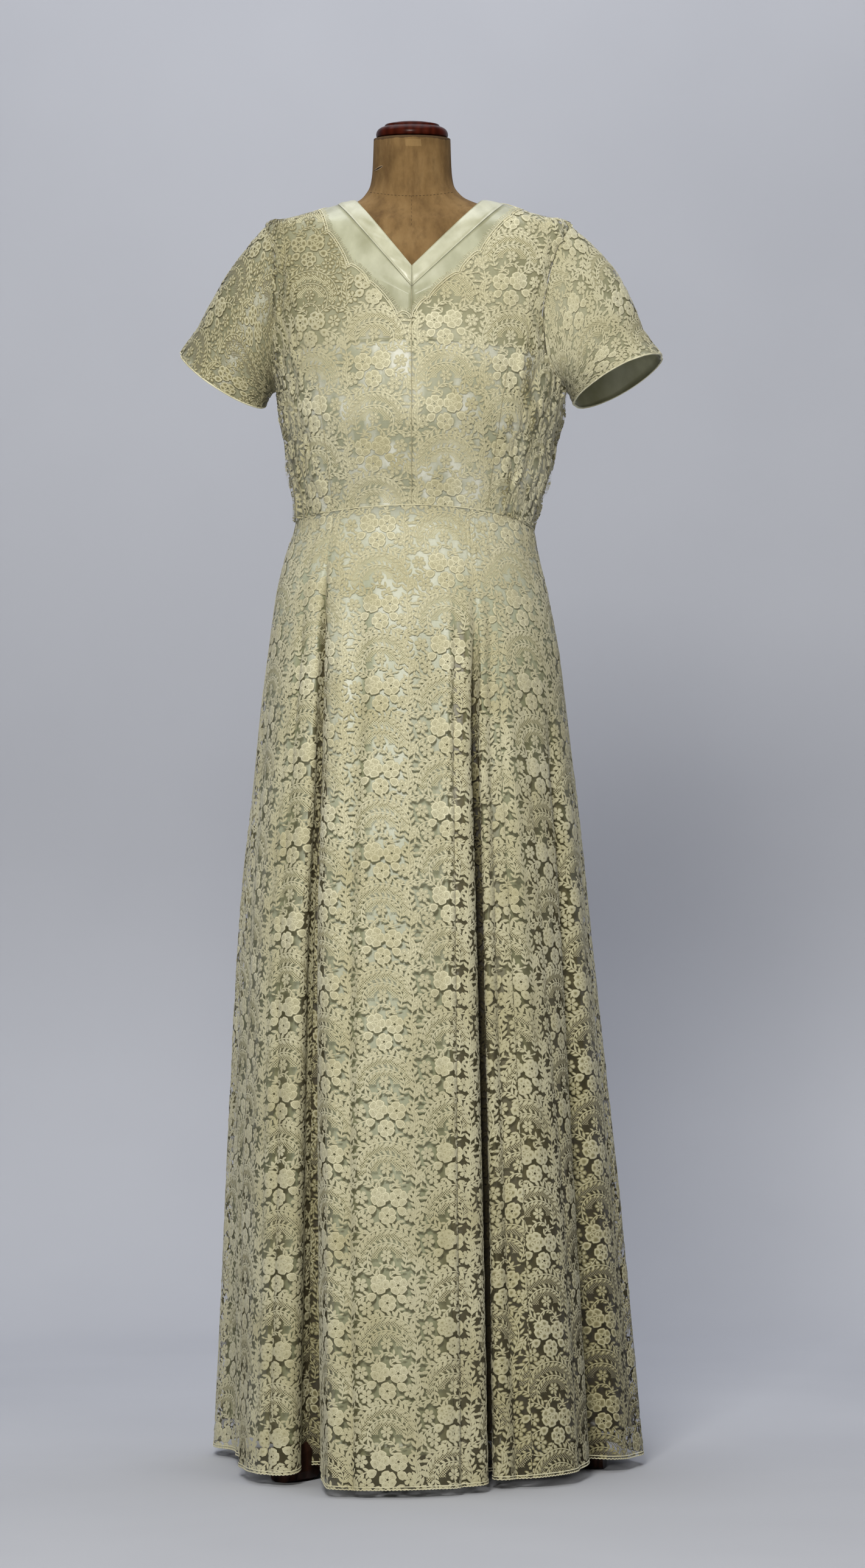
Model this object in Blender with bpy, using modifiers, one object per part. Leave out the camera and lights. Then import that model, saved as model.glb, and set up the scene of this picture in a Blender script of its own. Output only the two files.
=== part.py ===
"""A floor-length lace gown over a satin lining, worn by a limbless dress form on a wooden tripod stand."""

import math

import bmesh
import bpy
import numpy as np

# Driving dimensions in metres: +X is the viewer's right, -Y the front, +Z up.
# The tables are measured from the form's upright axis, with "front" growing towards -Y.
FORM_AXIS_X = -0.011
FORM_AXIS_Y = 0.020

SATIN_WALL = 0.0010
LACE_WALL = 0.0010
LACE_GAP = 0.0006
SEAM_GAP = 0.0003
BAND_RISE = 0.0010

# The gown's outer sections by height, without the folds of the skirt.
SECTION_COLUMNS = ("height", "left", "right", "front", "back")
SECTIONS = (
    (0.010, 0.215, 0.245, 0.290, 0.262),
    (0.168, 0.212, 0.237, 0.275, 0.248),
    (0.326, 0.210, 0.228, 0.255, 0.234),
    (0.492, 0.206, 0.216, 0.232, 0.217),
    (0.660, 0.200, 0.204, 0.205, 0.197),
    (0.784, 0.190, 0.195, 0.183, 0.180),
    (0.909, 0.179, 0.1825, 0.158, 0.163),
    (0.972, 0.1715, 0.1755, 0.145, 0.153),
    (1.044, 0.1625, 0.1625, 0.128, 0.135),
    (1.098, 0.1490, 0.1500, 0.112, 0.112),
    (1.128, 0.1395, 0.1460, 0.104, 0.100),
    (1.150, 0.1405, 0.1520, 0.107, 0.099),
    (1.185, 0.1460, 0.1640, 0.119, 0.103),
    (1.227, 0.1500, 0.1710, 0.131, 0.109),
    (1.256, 0.1570, 0.1790, 0.136, 0.113),
    (1.287, 0.1606, 0.1825, 0.135, 0.117),
    (1.340, 0.1760, 0.1900, 0.127, 0.121),
    (1.400, 0.1850, 0.1970, 0.111, 0.116),
    (1.450, 0.1830, 0.1975, 0.092, 0.102),
    (1.482, 0.1750, 0.1900, 0.076, 0.087),
    (1.500, 0.1180, 0.1380, 0.063, 0.073),
    (1.509, 0.0910, 0.1124, 0.056, 0.065),
    (1.514, 0.0704, 0.0870, 0.052, 0.060),
)

# How far out the armhole seam lies at each height, on the viewer's left and right.
ARMHOLE_COLUMNS = ("height", "left", "right")
ARMHOLE = (
    (1.287, 0.1606, 0.1825),
    (1.300, 0.1620, 0.1720),
    (1.330, 0.1640, 0.1590),
    (1.365, 0.1645, 0.1560),
    (1.410, 0.1640, 0.1610),
    (1.450, 0.1655, 0.1720),
    (1.482, 0.1750, 0.1900),
)

# The rows of the bodice: the height at the centre front, at the centre back and at the outer edge, which
# runs up the side seam, round the armhole and along the shoulder.
BODICE_COLUMNS = ("row", "front", "back", "edge")
BODICE_ROWS = (
    ("waist", 1.144, 1.130, 1.124),
    ("midriff", 1.182, 1.170, 1.165),
    ("underbust", 1.222, 1.211, 1.207),
    ("bust", 1.262, 1.253, 1.248),
    ("armpit", 1.302, 1.296, 1.287),
    ("underarm", 1.321, 1.317, 1.303),
    ("yoke_seam", 1.339, 1.338, 1.328),
    ("chest", 1.354, 1.378, 1.374),
    ("blade", 1.368, 1.412, 1.420),
    ("upper_chest", 1.381, 1.438, 1.458),
    ("shoulder_point", 1.390, 1.456, 1.482),
    ("shoulder_middle", 1.396, 1.467, 1.497),
    ("band_edge", 1.402, 1.475, 1.509),
    ("neckline", 1.4274, 1.499, 1.514),
)
FRONT_COLUMNS = 15
BACK_COLUMNS = 7

# Cusps between the scallops of the lace's upper edge, from the shoulder in to the centre seam.
SCALLOP_COLUMNS = ("out", "height")
SCALLOPS = {
    "left": (
        (0.1112, 1.4990),
        (0.0985, 1.4686),
        (0.0738, 1.4270),
        (0.0500, 1.4070),
        (0.0160, 1.3660),
        (0.0000, 1.3620),
    ),
    "right": (
        (0.1435, 1.5030),
        (0.1158, 1.4880),
        (0.0805, 1.4440),
        (0.0551, 1.4180),
        (0.0185, 1.3860),
        (0.0000, 1.3640),
    ),
}
BACK_SCALLOPS = (
    (0.1270, 1.4990),
    (0.0950, 1.4700),
    (0.0600, 1.4520),
    (0.0280, 1.4440),
    (0.0000, 1.4420),
)
SCALLOP_RISE = 0.007
ABOVE_ALL = 2.0

# The skirt, a row for each fold, its sides and the valleys between, round from the viewer's right side
# over the front: the angle at the waist and at the hip, the hem's place, its height, and the height
# where the fold begins.
FOLD_COLUMNS = ("name", "waist_deg", "hip_deg", "hem_x", "hem_front", "hem_height", "start")
FOLDS = (
    ("side_right", 2, 2, 0.2710, 0.010, 0.013, 0.85),
    ("side_right_front", 14, 14, 0.2500, 0.066, 0.014, 0.85),
    ("valley_e", 25, 27, 0.2120, 0.098, 0.018, 0.90),
    ("fold_d_side", 36, 40, 0.1990, 0.150, 0.016, 0.95),
    ("fold_d_edge", 44, 49, 0.1830, 0.197, 0.014, 1.00),
    ("fold_d", 52, 57, 0.1400, 0.228, 0.012, 1.08),
    ("fold_d_left", 59, 63.5, 0.1010, 0.245, 0.012, 1.10),
    ("slit_right", 61, 65.5, 0.0965, 0.205, 0.013, 1.10),
    ("slit_left", 63, 67.5, 0.0885, 0.205, 0.013, 1.10),
    ("fold_c", 65.5, 70, 0.0845, 0.270, 0.010, 1.10),
    ("fold_c_left", 72, 75, 0.0540, 0.2900, 0.009, 1.05),
    ("front_right", 77, 79, 0.0400, 0.302, 0.009, 1.05),
    ("front", 95, 95, -0.0200, 0.317, 0.009, 1.05),
    ("front_left", 110, 109, -0.0640, 0.316, 0.009, 1.05),
    ("front_edge", 124, 121.5, -0.0920, 0.296, 0.010, 1.10),
    ("valley_ab_right", 128, 125, -0.1000, 0.215, 0.018, 1.10),
    ("valley_ab", 131.5, 127.5, -0.1200, 0.186, 0.020, 1.10),
    ("fold_a_edge", 135, 130.5, -0.1430, 0.213, 0.014, 1.10),
    ("fold_a", 142, 139, -0.1680, 0.205, 0.013, 1.05),
    ("fold_a_left", 150, 149, -0.1870, 0.172, 0.013, 1.00),
    ("side_left_front", 164, 164, -0.1990, 0.080, 0.012, 0.95),
    ("side_left", 180, 180, -0.2060, -0.020, 0.012, 0.95),
    ("side_left_fold", 190, 190, -0.2360, -0.080, 0.011, 0.90),
    ("side_left_back", 202, 202, -0.2200, -0.142, 0.011, 0.90),
    ("back_valley_1", 214, 214, -0.1640, -0.166, 0.012, 0.95),
    ("back_fold_1", 225, 225, -0.1680, -0.222, 0.011, 1.00),
    ("back_fold_1_side", 234, 234, -0.1300, -0.249, 0.011, 1.00),
    ("back_valley_2", 241, 241, -0.1180, -0.212, 0.012, 1.00),
    ("back_fold_2", 249, 249, -0.0900, -0.270, 0.011, 1.00),
    ("back_fold_2_side", 258, 258, -0.0450, -0.278, 0.011, 1.00),
    ("back_valley_3", 267, 267, -0.0120, -0.226, 0.012, 1.00),
    ("back", 275, 275, 0.0200, -0.272, 0.011, 1.00),
    ("back_fold_3", 284, 284, 0.0600, -0.268, 0.011, 1.00),
    ("back_valley_4", 293, 293, 0.0880, -0.208, 0.012, 1.00),
    ("back_fold_4", 303, 303, 0.1200, -0.250, 0.011, 1.00),
    ("back_fold_4_side", 313, 313, 0.1640, -0.226, 0.011, 1.00),
    ("back_valley_5", 325, 325, 0.1740, -0.160, 0.012, 0.95),
    ("side_right_fold", 338, 338, 0.2300, -0.130, 0.011, 0.90),
    ("side_right_back", 350, 350, 0.2480, -0.062, 0.012, 0.88),
)
HIP_HEIGHT = 0.80
FOLD_POWER = 1.15
COLUMNS_PER_FOLD = 2
LINING_HEM = 0.048
# Where the skirt's rows lie, from the waist seam at 0 down to the lining's hem at 1.
SKIRT_ROWS = (0.0, 0.035, 0.085, 0.155, 0.250, 0.375, 0.540, 0.760, 1.0)
WAIST_HEIGHTS = {"side": 1.124, "front": 1.144, "back": 1.130}
WAIST_TILT = 0.005
LACE_GORES = (
    ("lace_skirt_side_front_right", "side_right", "fold_d"),
    ("lace_skirt_front", "fold_d", "valley_ab"),
    ("lace_skirt_side_front_left", "valley_ab", "side_left"),
    ("lace_skirt_back", "side_left", "side_right"),
)
LINING_PANELS = (
    ("satin_skirt_front", "side_right", "side_left"),
    ("satin_skirt_back", "side_left", "side_right"),
)

# The sleeves: the outer tip and the inner end of the hem, half the hem's depth from front to back, how
# much lower its front hangs than its back, and how far the cap stands out near the shoulder.
SLEEVE_COLUMNS = ("tip_out", "tip_height", "inner_out", "inner_height", "half_depth", "drop", "cap")
SLEEVES = {
    "left": (0.2760, 1.3300, 0.1770, 1.2690, 0.066, 0.018, 0.006),
    "right": (0.2985, 1.3250, 0.1950, 1.2720, 0.066, -0.014, 0.013),
}
SLEEVE_ROWS = (0.0, 0.18, 0.42, 0.70, 1.0)
SLEEVE_START = 0.0024
UNDERARM_EASE = 1.2
# The cap's fullness ends this far down the sleeve and stands out and up in these shares.
CAP_END = 0.8
CAP_OUT = 0.8
CAP_UP = 0.6

# The dress form: how far it stays inside the gown by height, and its neck.
INSET_COLUMNS = ("height", "inset")
FORM_INSETS = (
    (0.800, 0.052),
    (0.812, 0.040),
    (0.930, 0.026),
    (1.044, 0.011),
    (1.120, 0.0046),
    (1.600, 0.0046),
)
SHOULDER_DROP = 0.0032
DROP_START = 1.40
DROP_SPAN = 0.04
FORM_BOTTOM = 0.800
ARM_PLATE = 0.1500
ARM_PLATE_BOTTOM = 1.27
FORM_HEIGHTS = (0.812, 0.86, 0.93, 1.00, 1.06, 1.10, 1.13, 1.17, 1.22, 1.27, 1.32, 1.37, 1.41, 1.44, 1.463, 1.478)
NECK_COLUMNS = ("height", "left", "right", "front", "back")
FORM_NECK = (
    (1.4860, 0.1440, 0.1540, 0.0680, 0.0780),
    (1.4960, 0.1140, 0.1260, 0.0600, 0.0690),
    (1.5040, 0.0890, 0.0980, 0.0545, 0.0620),
    (1.5100, 0.0710, 0.0800, 0.0510, 0.0570),
    (1.5180, 0.0590, 0.0620, 0.0490, 0.0530),
    (1.5330, 0.0500, 0.0500, 0.0480, 0.0480),
    (1.5500, 0.0475, 0.0475, 0.0475, 0.0455),
    (1.5880, 0.0460, 0.0460, 0.0465, 0.0445),
)
FORM_SIDES = 24

CAP_PROFILE = (
    (0.0, 1.6085),
    (0.0235, 1.6075),
    (0.0252, 1.6055),
    (0.0330, 1.6040),
    (0.0395, 1.6005),
    (0.0432, 1.5955),
    (0.0429, 1.5900),
    (0.0410, 1.5883),
    (0.0, 1.5883),
)
COLUMN_PROFILE = (
    (0.0, 0.7997),
    (0.0500, 0.7997),
    (0.0500, 0.7880),
    (0.0220, 0.7700),
    (0.0160, 0.7200),
    (0.0160, 0.3000),
    (0.0230, 0.2600),
    (0.0180, 0.2200),
    (0.0300, 0.1700),
    (0.0320, 0.1550),
    (0.0320, 0.0820),
    (0.0280, 0.0700),
    (0.0180, 0.0560),
    (0.0, 0.0560),
)
TURNED_SIDES = 20

# The tripod's feet, and its legs by distance from the axis.
LEG_ANGLES = (11.0, 131.0, 251.0)
LEG_COLUMNS = ("out", "bottom", "top", "half_width")
LEG_STATIONS = (
    (0.0322, 0.0860, 0.1500, 0.0110),
    (0.0600, 0.0900, 0.1420, 0.0110),
    (0.0950, 0.0820, 0.1210, 0.0115),
    (0.1350, 0.0540, 0.0900, 0.0125),
    (0.1700, 0.0160, 0.0620, 0.0150),
    (0.1860, 0.0000, 0.0520, 0.0190),
    (0.2100, 0.0000, 0.0500, 0.0235),
    (0.2250, 0.0000, 0.0440, 0.0225),
    (0.2340, 0.0000, 0.0330, 0.0160),
)
LEG_SECTION_SIDES = 12
LEG_ROUNDING = 0.6

COLOURS = {
    "satin": ((0.58, 0.62, 0.46), 0.35),
    "lace": ((0.66, 0.58, 0.40), 0.85),
    "canvas": ((0.26, 0.16, 0.07), 0.90),
    "wood": ((0.10, 0.022, 0.008), 0.30),
    "dark_wood": ((0.030, 0.012, 0.008), 0.45),
}

COVER = LACE_GAP + LACE_WALL
# A step for taking slopes, and the distance under which points are made one.
NUDGE = 1e-4
MERGE = 1e-6


def clear_scene():
    for obj in list(bpy.data.objects):
        bpy.data.objects.remove(obj, do_unlink=True)


def make_material(name):
    colour, roughness = COLOURS[name]
    material = bpy.data.materials.get(name) or bpy.data.materials.new(name)
    material.use_nodes = True
    shader = material.node_tree.nodes["Principled BSDF"]
    shader.inputs["Base Color"].default_value = (*colour, 1.0)
    shader.inputs["Roughness"].default_value = roughness
    shader.inputs["Metallic"].default_value = 0.0
    return material


def add_object(name, mesh, material, collection):
    mesh.materials.append(make_material(material))
    obj = bpy.data.objects.new(name, mesh)
    obj.location = (FORM_AXIS_X, FORM_AXIS_Y, 0.0)
    collection.objects.link(obj)
    return obj


def column(table, columns, name):
    return np.array([row[columns.index(name)] for row in table], float)


def smooth_between(knots, values, spots):
    """A monotone cubic through a table's rows, so that nothing bulges between two of them."""
    spots = np.asarray(spots, float)
    step = np.diff(knots)
    slope = np.diff(values) / step
    bend = np.zeros(len(knots))
    same = slope[:-1] * slope[1:] > 0
    low, high = 2 * step[1:] + step[:-1], step[1:] + 2 * step[:-1]
    first, second = np.where(same, slope[:-1], 1.0), np.where(same, slope[1:], 1.0)
    bend[1:-1] = np.where(same, (low + high) / (low / first + high / second), 0.0)
    bend[0], bend[-1] = slope[0], slope[-1]
    at = np.clip(np.searchsorted(knots, spots) - 1, 0, len(step) - 1)
    t = (spots - knots[at]) / step[at]
    start, end = values[at], values[at + 1]
    return (
        start * (1 + 2 * t) * (1 - t) ** 2
        + bend[at] * step[at] * t * (1 - t) ** 2
        + end * t**2 * (3 - 2 * t)
        - bend[at + 1] * step[at] * t**2 * (1 - t)
    )


def reach(direction, height):
    """How far the lining's outer face lies from the axis at a height."""
    knots = column(SECTIONS, SECTION_COLUMNS, "height")
    return smooth_between(knots, column(SECTIONS, SECTION_COLUMNS, direction), height) - COVER


def unit(vectors):
    return vectors / np.maximum(np.linalg.norm(vectors, axis=-1, keepdims=True), 1e-12)


def body_surface(out, height, side, face):
    """Points and outward directions of the bodice, at a distance out to one side and a height."""
    sign_x = {"left": -1.0, "right": 1.0}[side]
    sign_y = {"front": -1.0, "back": 1.0}[face]
    wide, deep = reach(side, height), reach(face, height)
    share = np.clip(out / wide, 0.0, 1.0)
    depth = deep * np.sqrt(1.0 - share**2)
    wide_slope = (reach(side, height + NUDGE) - reach(side, height - NUDGE)) / (2 * NUDGE)
    deep_slope = (reach(face, height + NUDGE) - reach(face, height - NUDGE)) / (2 * NUDGE)
    points = np.stack([sign_x * share * wide, sign_y * depth, height], axis=-1)
    away = np.stack(
        [
            sign_x * share / wide,
            sign_y * depth / deep**2,
            -(share**2) * wide_slope / wide - depth**2 * deep_slope / deep**3,
        ],
        axis=-1,
    )
    return points, unit(away)


def waist_height(angle):
    """The waist seam, which rises in the middle of the front."""
    front = np.maximum(np.sin(angle), 0.0) ** 1.5
    back = np.maximum(-np.sin(angle), 0.0) ** 1.5
    side = WAIST_HEIGHTS["side"] - WAIST_TILT * np.cos(angle)
    return (
        side + (WAIST_HEIGHTS["front"] - side) * front + (WAIST_HEIGHTS["back"] - side) * back
    )


def edge_out(height, side):
    """How far out a panel's edge lies: the side seam, then the armhole, then the shoulder seam."""
    knots = column(ARMHOLE, ARMHOLE_COLUMNS, "height")
    armhole = smooth_between(knots, column(ARMHOLE, ARMHOLE_COLUMNS, side), height) - COVER
    inside = (height > knots[0]) & (height < knots[-1])
    return np.where(inside, np.minimum(armhole, reach(side, height)), reach(side, height))


def bodice_half(side, face, columns):
    """Rows from the waist up to the neckline, columns from the outer edge in to the centre seam."""
    centre = column(BODICE_ROWS, BODICE_COLUMNS, face)[:, None]
    edge = column(BODICE_ROWS, BODICE_COLUMNS, "edge")
    edge[0] += WAIST_TILT * (1 if side == "left" else -1)
    turn = np.linspace(0.0, math.pi / 2, columns + 1)[None, :]
    out = edge_out(edge, side)[:, None] * np.cos(turn)
    rise = np.cos(turn) if face == "front" else np.cos(turn) ** 2
    height = centre + (edge[:, None] - centre) * rise
    angle = turn if side == "right" else math.pi - turn
    height[0] = waist_height(angle if face == "front" else -angle)[0]
    points, away = body_surface(out, height, side, face)
    away[0, :, 2] = 0.0
    return points, unit(away)


def row_index(name):
    return [row[0] for row in BODICE_ROWS].index(name)


def pull_in(points, sides):
    """Moves the named borders of a grid in by half the seam gap."""
    points = points.copy()
    borders = {
        "first_row": (np.s_[0], np.s_[1]),
        "last_row": (np.s_[-1], np.s_[-2]),
        "first_column": (np.s_[:, 0], np.s_[:, 1]),
        "last_column": (np.s_[:, -1], np.s_[:, -2]),
    }
    for side in sides:
        border, inner = borders[side]
        points[border] += unit(points[inner] - points[border]) * SEAM_GAP / 2
    return points


def cloth(name, points, away, inner, outer, material, collection):
    """A closed wall between two offsets of one grid. Grid points that coincide are made one."""
    rows, columns = points.shape[:2]
    layers = [points + away * inner, points + away * outer]
    mesh = bmesh.new()
    verts = [[[mesh.verts.new(p) for p in row] for row in layer] for layer in layers]
    border = [(0, c) for c in range(columns - 1)]
    border += [(r, columns - 1) for r in range(rows - 1)]
    border += [(rows - 1, c) for c in range(columns - 1, 0, -1)]
    border += [(r, 0) for r in range(rows - 1, 0, -1)]
    for layer in verts:
        for r in range(rows - 1):
            for c in range(columns - 1):
                mesh.faces.new((layer[r][c], layer[r][c + 1], layer[r + 1][c + 1], layer[r + 1][c]))
    for (r0, c0), (r1, c1) in zip(border, border[1:] + border[:1]):
        mesh.faces.new((verts[0][r0][c0], verts[0][r1][c1], verts[1][r1][c1], verts[1][r0][c0]))
    bmesh.ops.remove_doubles(mesh, verts=mesh.verts, dist=MERGE)
    bmesh.ops.recalc_face_normals(mesh, faces=mesh.faces)
    data = bpy.data.meshes.new(name)
    mesh.to_mesh(data)
    mesh.free()
    data.shade_smooth()
    return add_object(name, data, material, collection)


def scallop_height(out, cusps):
    """The lace's upper edge as a height at a distance out: arcs that rise between the cusps."""
    places = column(cusps, SCALLOP_COLUMNS, "out")[::-1]
    heights = column(cusps, SCALLOP_COLUMNS, "height")[::-1]
    line = np.interp(out, places, heights, right=ABOVE_ALL)
    at = np.clip(np.searchsorted(places, out) - 1, 0, len(places) - 2)
    share = np.clip((out - places[at]) / (places[at + 1] - places[at]), 0.0, 1.0)
    return line + SCALLOP_RISE * np.sqrt(np.maximum(4 * share * (1 - share), 0.0))


def cut_at_scallops(points, away, cusps):
    """Ends each column of a grid where it meets the scalloped edge."""
    points, away = points.copy(), away.copy()
    for c in range(points.shape[1]):
        over = points[:, c, 2] - scallop_height(np.abs(points[:, c, 0]), cusps)
        crossed = np.nonzero(over > 0)[0]
        if len(crossed) == 0:
            continue
        last = crossed[0]
        share = over[last - 1] / (over[last - 1] - over[last])
        for grid in (points, away):
            grid[last:, c] = grid[last - 1, c] + (grid[last, c] - grid[last - 1, c]) * share
    return points, unit(away)


def build_bodice_front(side, collection):
    points, away = bodice_half(side, "front", FRONT_COLUMNS)
    seam, band = row_index("yoke_seam"), row_index("band_edge")
    sides = ("first_column", "last_column", "first_row", "last_row")
    lower = pull_in(points[: seam + 1], sides)
    cloth(f"satin_bodice_front_{side}", lower, away[: seam + 1], -SATIN_WALL, 0, "satin", collection)
    yoke = pull_in(points[seam : band + 1], sides)
    cloth(f"satin_yoke_{side}", yoke, away[seam : band + 1], -SATIN_WALL, 0, "satin", collection)
    strip = pull_in(points[band:], sides[:3])
    cloth(f"neck_band_{side}", strip, away[band:], -SATIN_WALL, BAND_RISE, "satin", collection)
    top, top_away = cut_at_scallops(
        pull_in(points, sides[:3])[: band + 1], away[: band + 1], SCALLOPS[side]
    )
    cloth(f"lace_bodice_front_{side}", top, top_away, LACE_GAP, COVER, "lace", collection)


def build_bodice_back(collection):
    halves = [bodice_half(side, "back", BACK_COLUMNS) for side in ("left", "right")]
    points = np.concatenate([halves[0][0], halves[1][0][:, -2::-1]], axis=1)
    away = np.concatenate([halves[0][1], halves[1][1][:, -2::-1]], axis=1)
    band = row_index("band_edge")
    sides = ("first_column", "last_column", "first_row", "last_row")
    lining = pull_in(points[: band + 1], sides)
    cloth("satin_bodice_back", lining, away[: band + 1], -SATIN_WALL, 0, "satin", collection)
    strip = pull_in(points[band:], sides[:3])
    cloth("neck_band_back", strip, away[band:], -SATIN_WALL, BAND_RISE, "satin", collection)
    top, top_away = cut_at_scallops(
        pull_in(points, sides[:3])[: band + 1], away[: band + 1], BACK_SCALLOPS
    )
    cloth("lace_bodice_back", top, top_away, LACE_GAP, COVER, "lace", collection)


def armhole_loop(side):
    """The armhole's seam, from the shoulder down the front to the armpit and up the back."""
    low, high = row_index("armpit"), row_index("shoulder_point")
    heights = column(BODICE_ROWS, BODICE_COLUMNS, "edge")[low : high + 1][::-1]
    out = edge_out(heights, side)
    front = body_surface(out, heights, side, "front")[0]
    back = body_surface(out, heights, side, "back")[0][::-1]
    loop = np.concatenate([front, back[1:-1]])
    middles = (loop + np.roll(loop, -1, axis=0)) / 2
    return np.stack([loop, middles], axis=1).reshape(-1, 3)


def grid_directions(points, centre):
    """Outward directions of a tube of rings about a line of centres."""
    along = np.gradient(points, axis=0)
    around = np.roll(points, -1, axis=1) - np.roll(points, 1, axis=1)
    away = unit(np.cross(along, around))
    outward = np.sum(away * (points - centre), axis=-1, keepdims=True)
    return away * np.where(outward < 0, -1.0, 1.0)


def build_sleeve(side, collection):
    size = dict(zip(SLEEVE_COLUMNS, SLEEVES[side]))
    sign = {"left": -1.0, "right": 1.0}[side]
    loop = armhole_loop(side)
    count = len(loop)
    angle = np.arange(count) * 2 * math.pi / count
    tip = np.array([sign * size["tip_out"], 0.0, size["tip_height"]])
    inner = np.array([sign * size["inner_out"], 0.0, size["inner_height"]])
    middle, half = (tip + inner) / 2, (tip - inner) / 2
    toward = np.array([0.0, -size["half_depth"], -size["drop"]])
    hem = middle + np.cos(angle)[:, None] * half + np.sin(angle)[:, None] * toward
    direction = np.array([sign, 0.0, 0.0])
    start = loop + direction * SLEEVE_START
    share = np.array(SLEEVE_ROWS)[:, None, None]
    over = np.maximum(np.cos(angle), 0.0)[None, :, None]
    bulge = np.sin(math.pi * np.minimum(share / CAP_END, 1.0)) * over
    cap = size["cap"] * bulge * np.array([sign * CAP_OUT, 0.0, CAP_UP])
    under = np.maximum(-np.cos(angle), 0.0)[None, :, None]
    rings = start + (hem - start) * share + cap
    rings[..., 2:] = start[:, 2:] + (hem - start)[:, 2:] * share ** (1 + UNDERARM_EASE * under) + cap[..., 2:]
    away = grid_directions(rings, rings.mean(axis=1, keepdims=True))
    away[0] -= np.sum(away[0] * direction, axis=-1, keepdims=True) * direction
    order = np.roll(np.arange(count), count // 2)
    order = np.append(order, order[0])
    tube = pull_in(rings[:, order], ("first_column", "last_column"))
    tube_away = unit(away)[:, order]
    cloth(f"satin_sleeve_{side}", tube, tube_away, -SATIN_WALL, 0, "satin", collection)
    cloth(f"lace_sleeve_{side}", tube, tube_away, LACE_GAP, COVER, "lace", collection)


def closed_spline(values, steps):
    """A smooth loop through the rows, with this many columns for each of them."""
    before, after, beyond = (np.roll(values, shift, axis=0) for shift in (1, -1, -2))
    out = []
    for step in range(steps):
        t = step / steps
        out.append(
            0.5
            * (
                2 * values
                + (after - before) * t
                + (2 * before - 5 * values + 4 * after - beyond) * t**2
                + (3 * values - before - 3 * after + beyond) * t**3
            )
        )
    return np.stack(out, axis=1).reshape(-1, values.shape[1])


def section_point(angle, height):
    """A point of the lining's section without folds, at an angle round the axis."""
    wide = np.where(np.cos(angle) >= 0, reach("right", height), reach("left", height))
    deep = np.where(np.sin(angle) >= 0, reach("front", height), reach("back", height))
    return np.stack([wide * np.cos(angle), -deep * np.sin(angle)], axis=-1)


def skirt_surface():
    """Rows from the waist seam to the lace's hem, columns round the skirt, and their outward directions."""
    place = np.stack(
        [
            column(FOLDS, FOLD_COLUMNS, "hem_x"),
            -column(FOLDS, FOLD_COLUMNS, "hem_front"),
            column(FOLDS, FOLD_COLUMNS, "hem_height"),
        ],
        axis=1,
    )
    hem = closed_spline(place, COLUMNS_PER_FOLD)
    knots = np.arange(len(FOLDS) + 1) * COLUMNS_PER_FOLD
    spots = np.arange(len(hem))
    waist_deg = column(FOLDS, FOLD_COLUMNS, "waist_deg")
    hip_deg = column(FOLDS, FOLD_COLUMNS, "hip_deg")
    start = column(FOLDS, FOLD_COLUMNS, "start")
    waist = np.radians(np.interp(spots, knots, np.append(waist_deg, waist_deg[0] + 360)))
    hip = np.radians(np.interp(spots, knots, np.append(hip_deg, hip_deg[0] + 360)))
    start = np.interp(spots, knots, np.append(start, start[0]))
    top = waist_height(waist)
    rows = [top + (LINING_HEM - top) * share for share in SKIRT_ROWS] + [hem[:, 2]]
    hem_section = section_point(hip, hem[:, 2])
    points = []
    for height in rows:
        down = np.clip((top - height) / (top - HIP_HEIGHT), 0.0, 1.0)
        angle = waist + (hip - waist) * down * down * (3 - 2 * down)
        weight = np.clip((start - height) / (start - hem[:, 2]), 0.0, 1.0) ** FOLD_POWER
        plan = section_point(angle, height) + weight[:, None] * (hem[:, :2] - hem_section)
        points.append(np.concatenate([plan, height[:, None]], axis=1))
    points = np.stack(points)
    away = unit(
        np.cross(np.roll(points, -1, axis=1) - np.roll(points, 1, axis=1), np.gradient(points, axis=0))
    )
    if np.sum(away[0, 0] * points[0, 0]) < 0:
        away = -away
    away[0, :, 2] = 0.0
    return points, unit(away)


def between_folds(grid, first, last):
    """The columns of a round grid from one fold's line to another's."""
    names = [row[0] for row in FOLDS]
    start, end = names.index(first) * COLUMNS_PER_FOLD, names.index(last) * COLUMNS_PER_FOLD
    if end <= start:
        end += grid.shape[1]
    return grid[:, np.arange(start, end + 1) % grid.shape[1]]


def build_skirt(collection):
    points, away = skirt_surface()
    sides = ("first_row", "first_column", "last_column")
    for name, first, last in LINING_PANELS:
        panel = pull_in(between_folds(points, first, last)[:-1], sides)
        panel_away = between_folds(away, first, last)[:-1]
        cloth(name, panel, panel_away, -SATIN_WALL, 0, "satin", collection)
    for name, first, last in LACE_GORES:
        panel = pull_in(between_folds(points, first, last), sides)
        cloth(name, panel, between_folds(away, first, last), LACE_GAP, COVER, "lace", collection)


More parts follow.
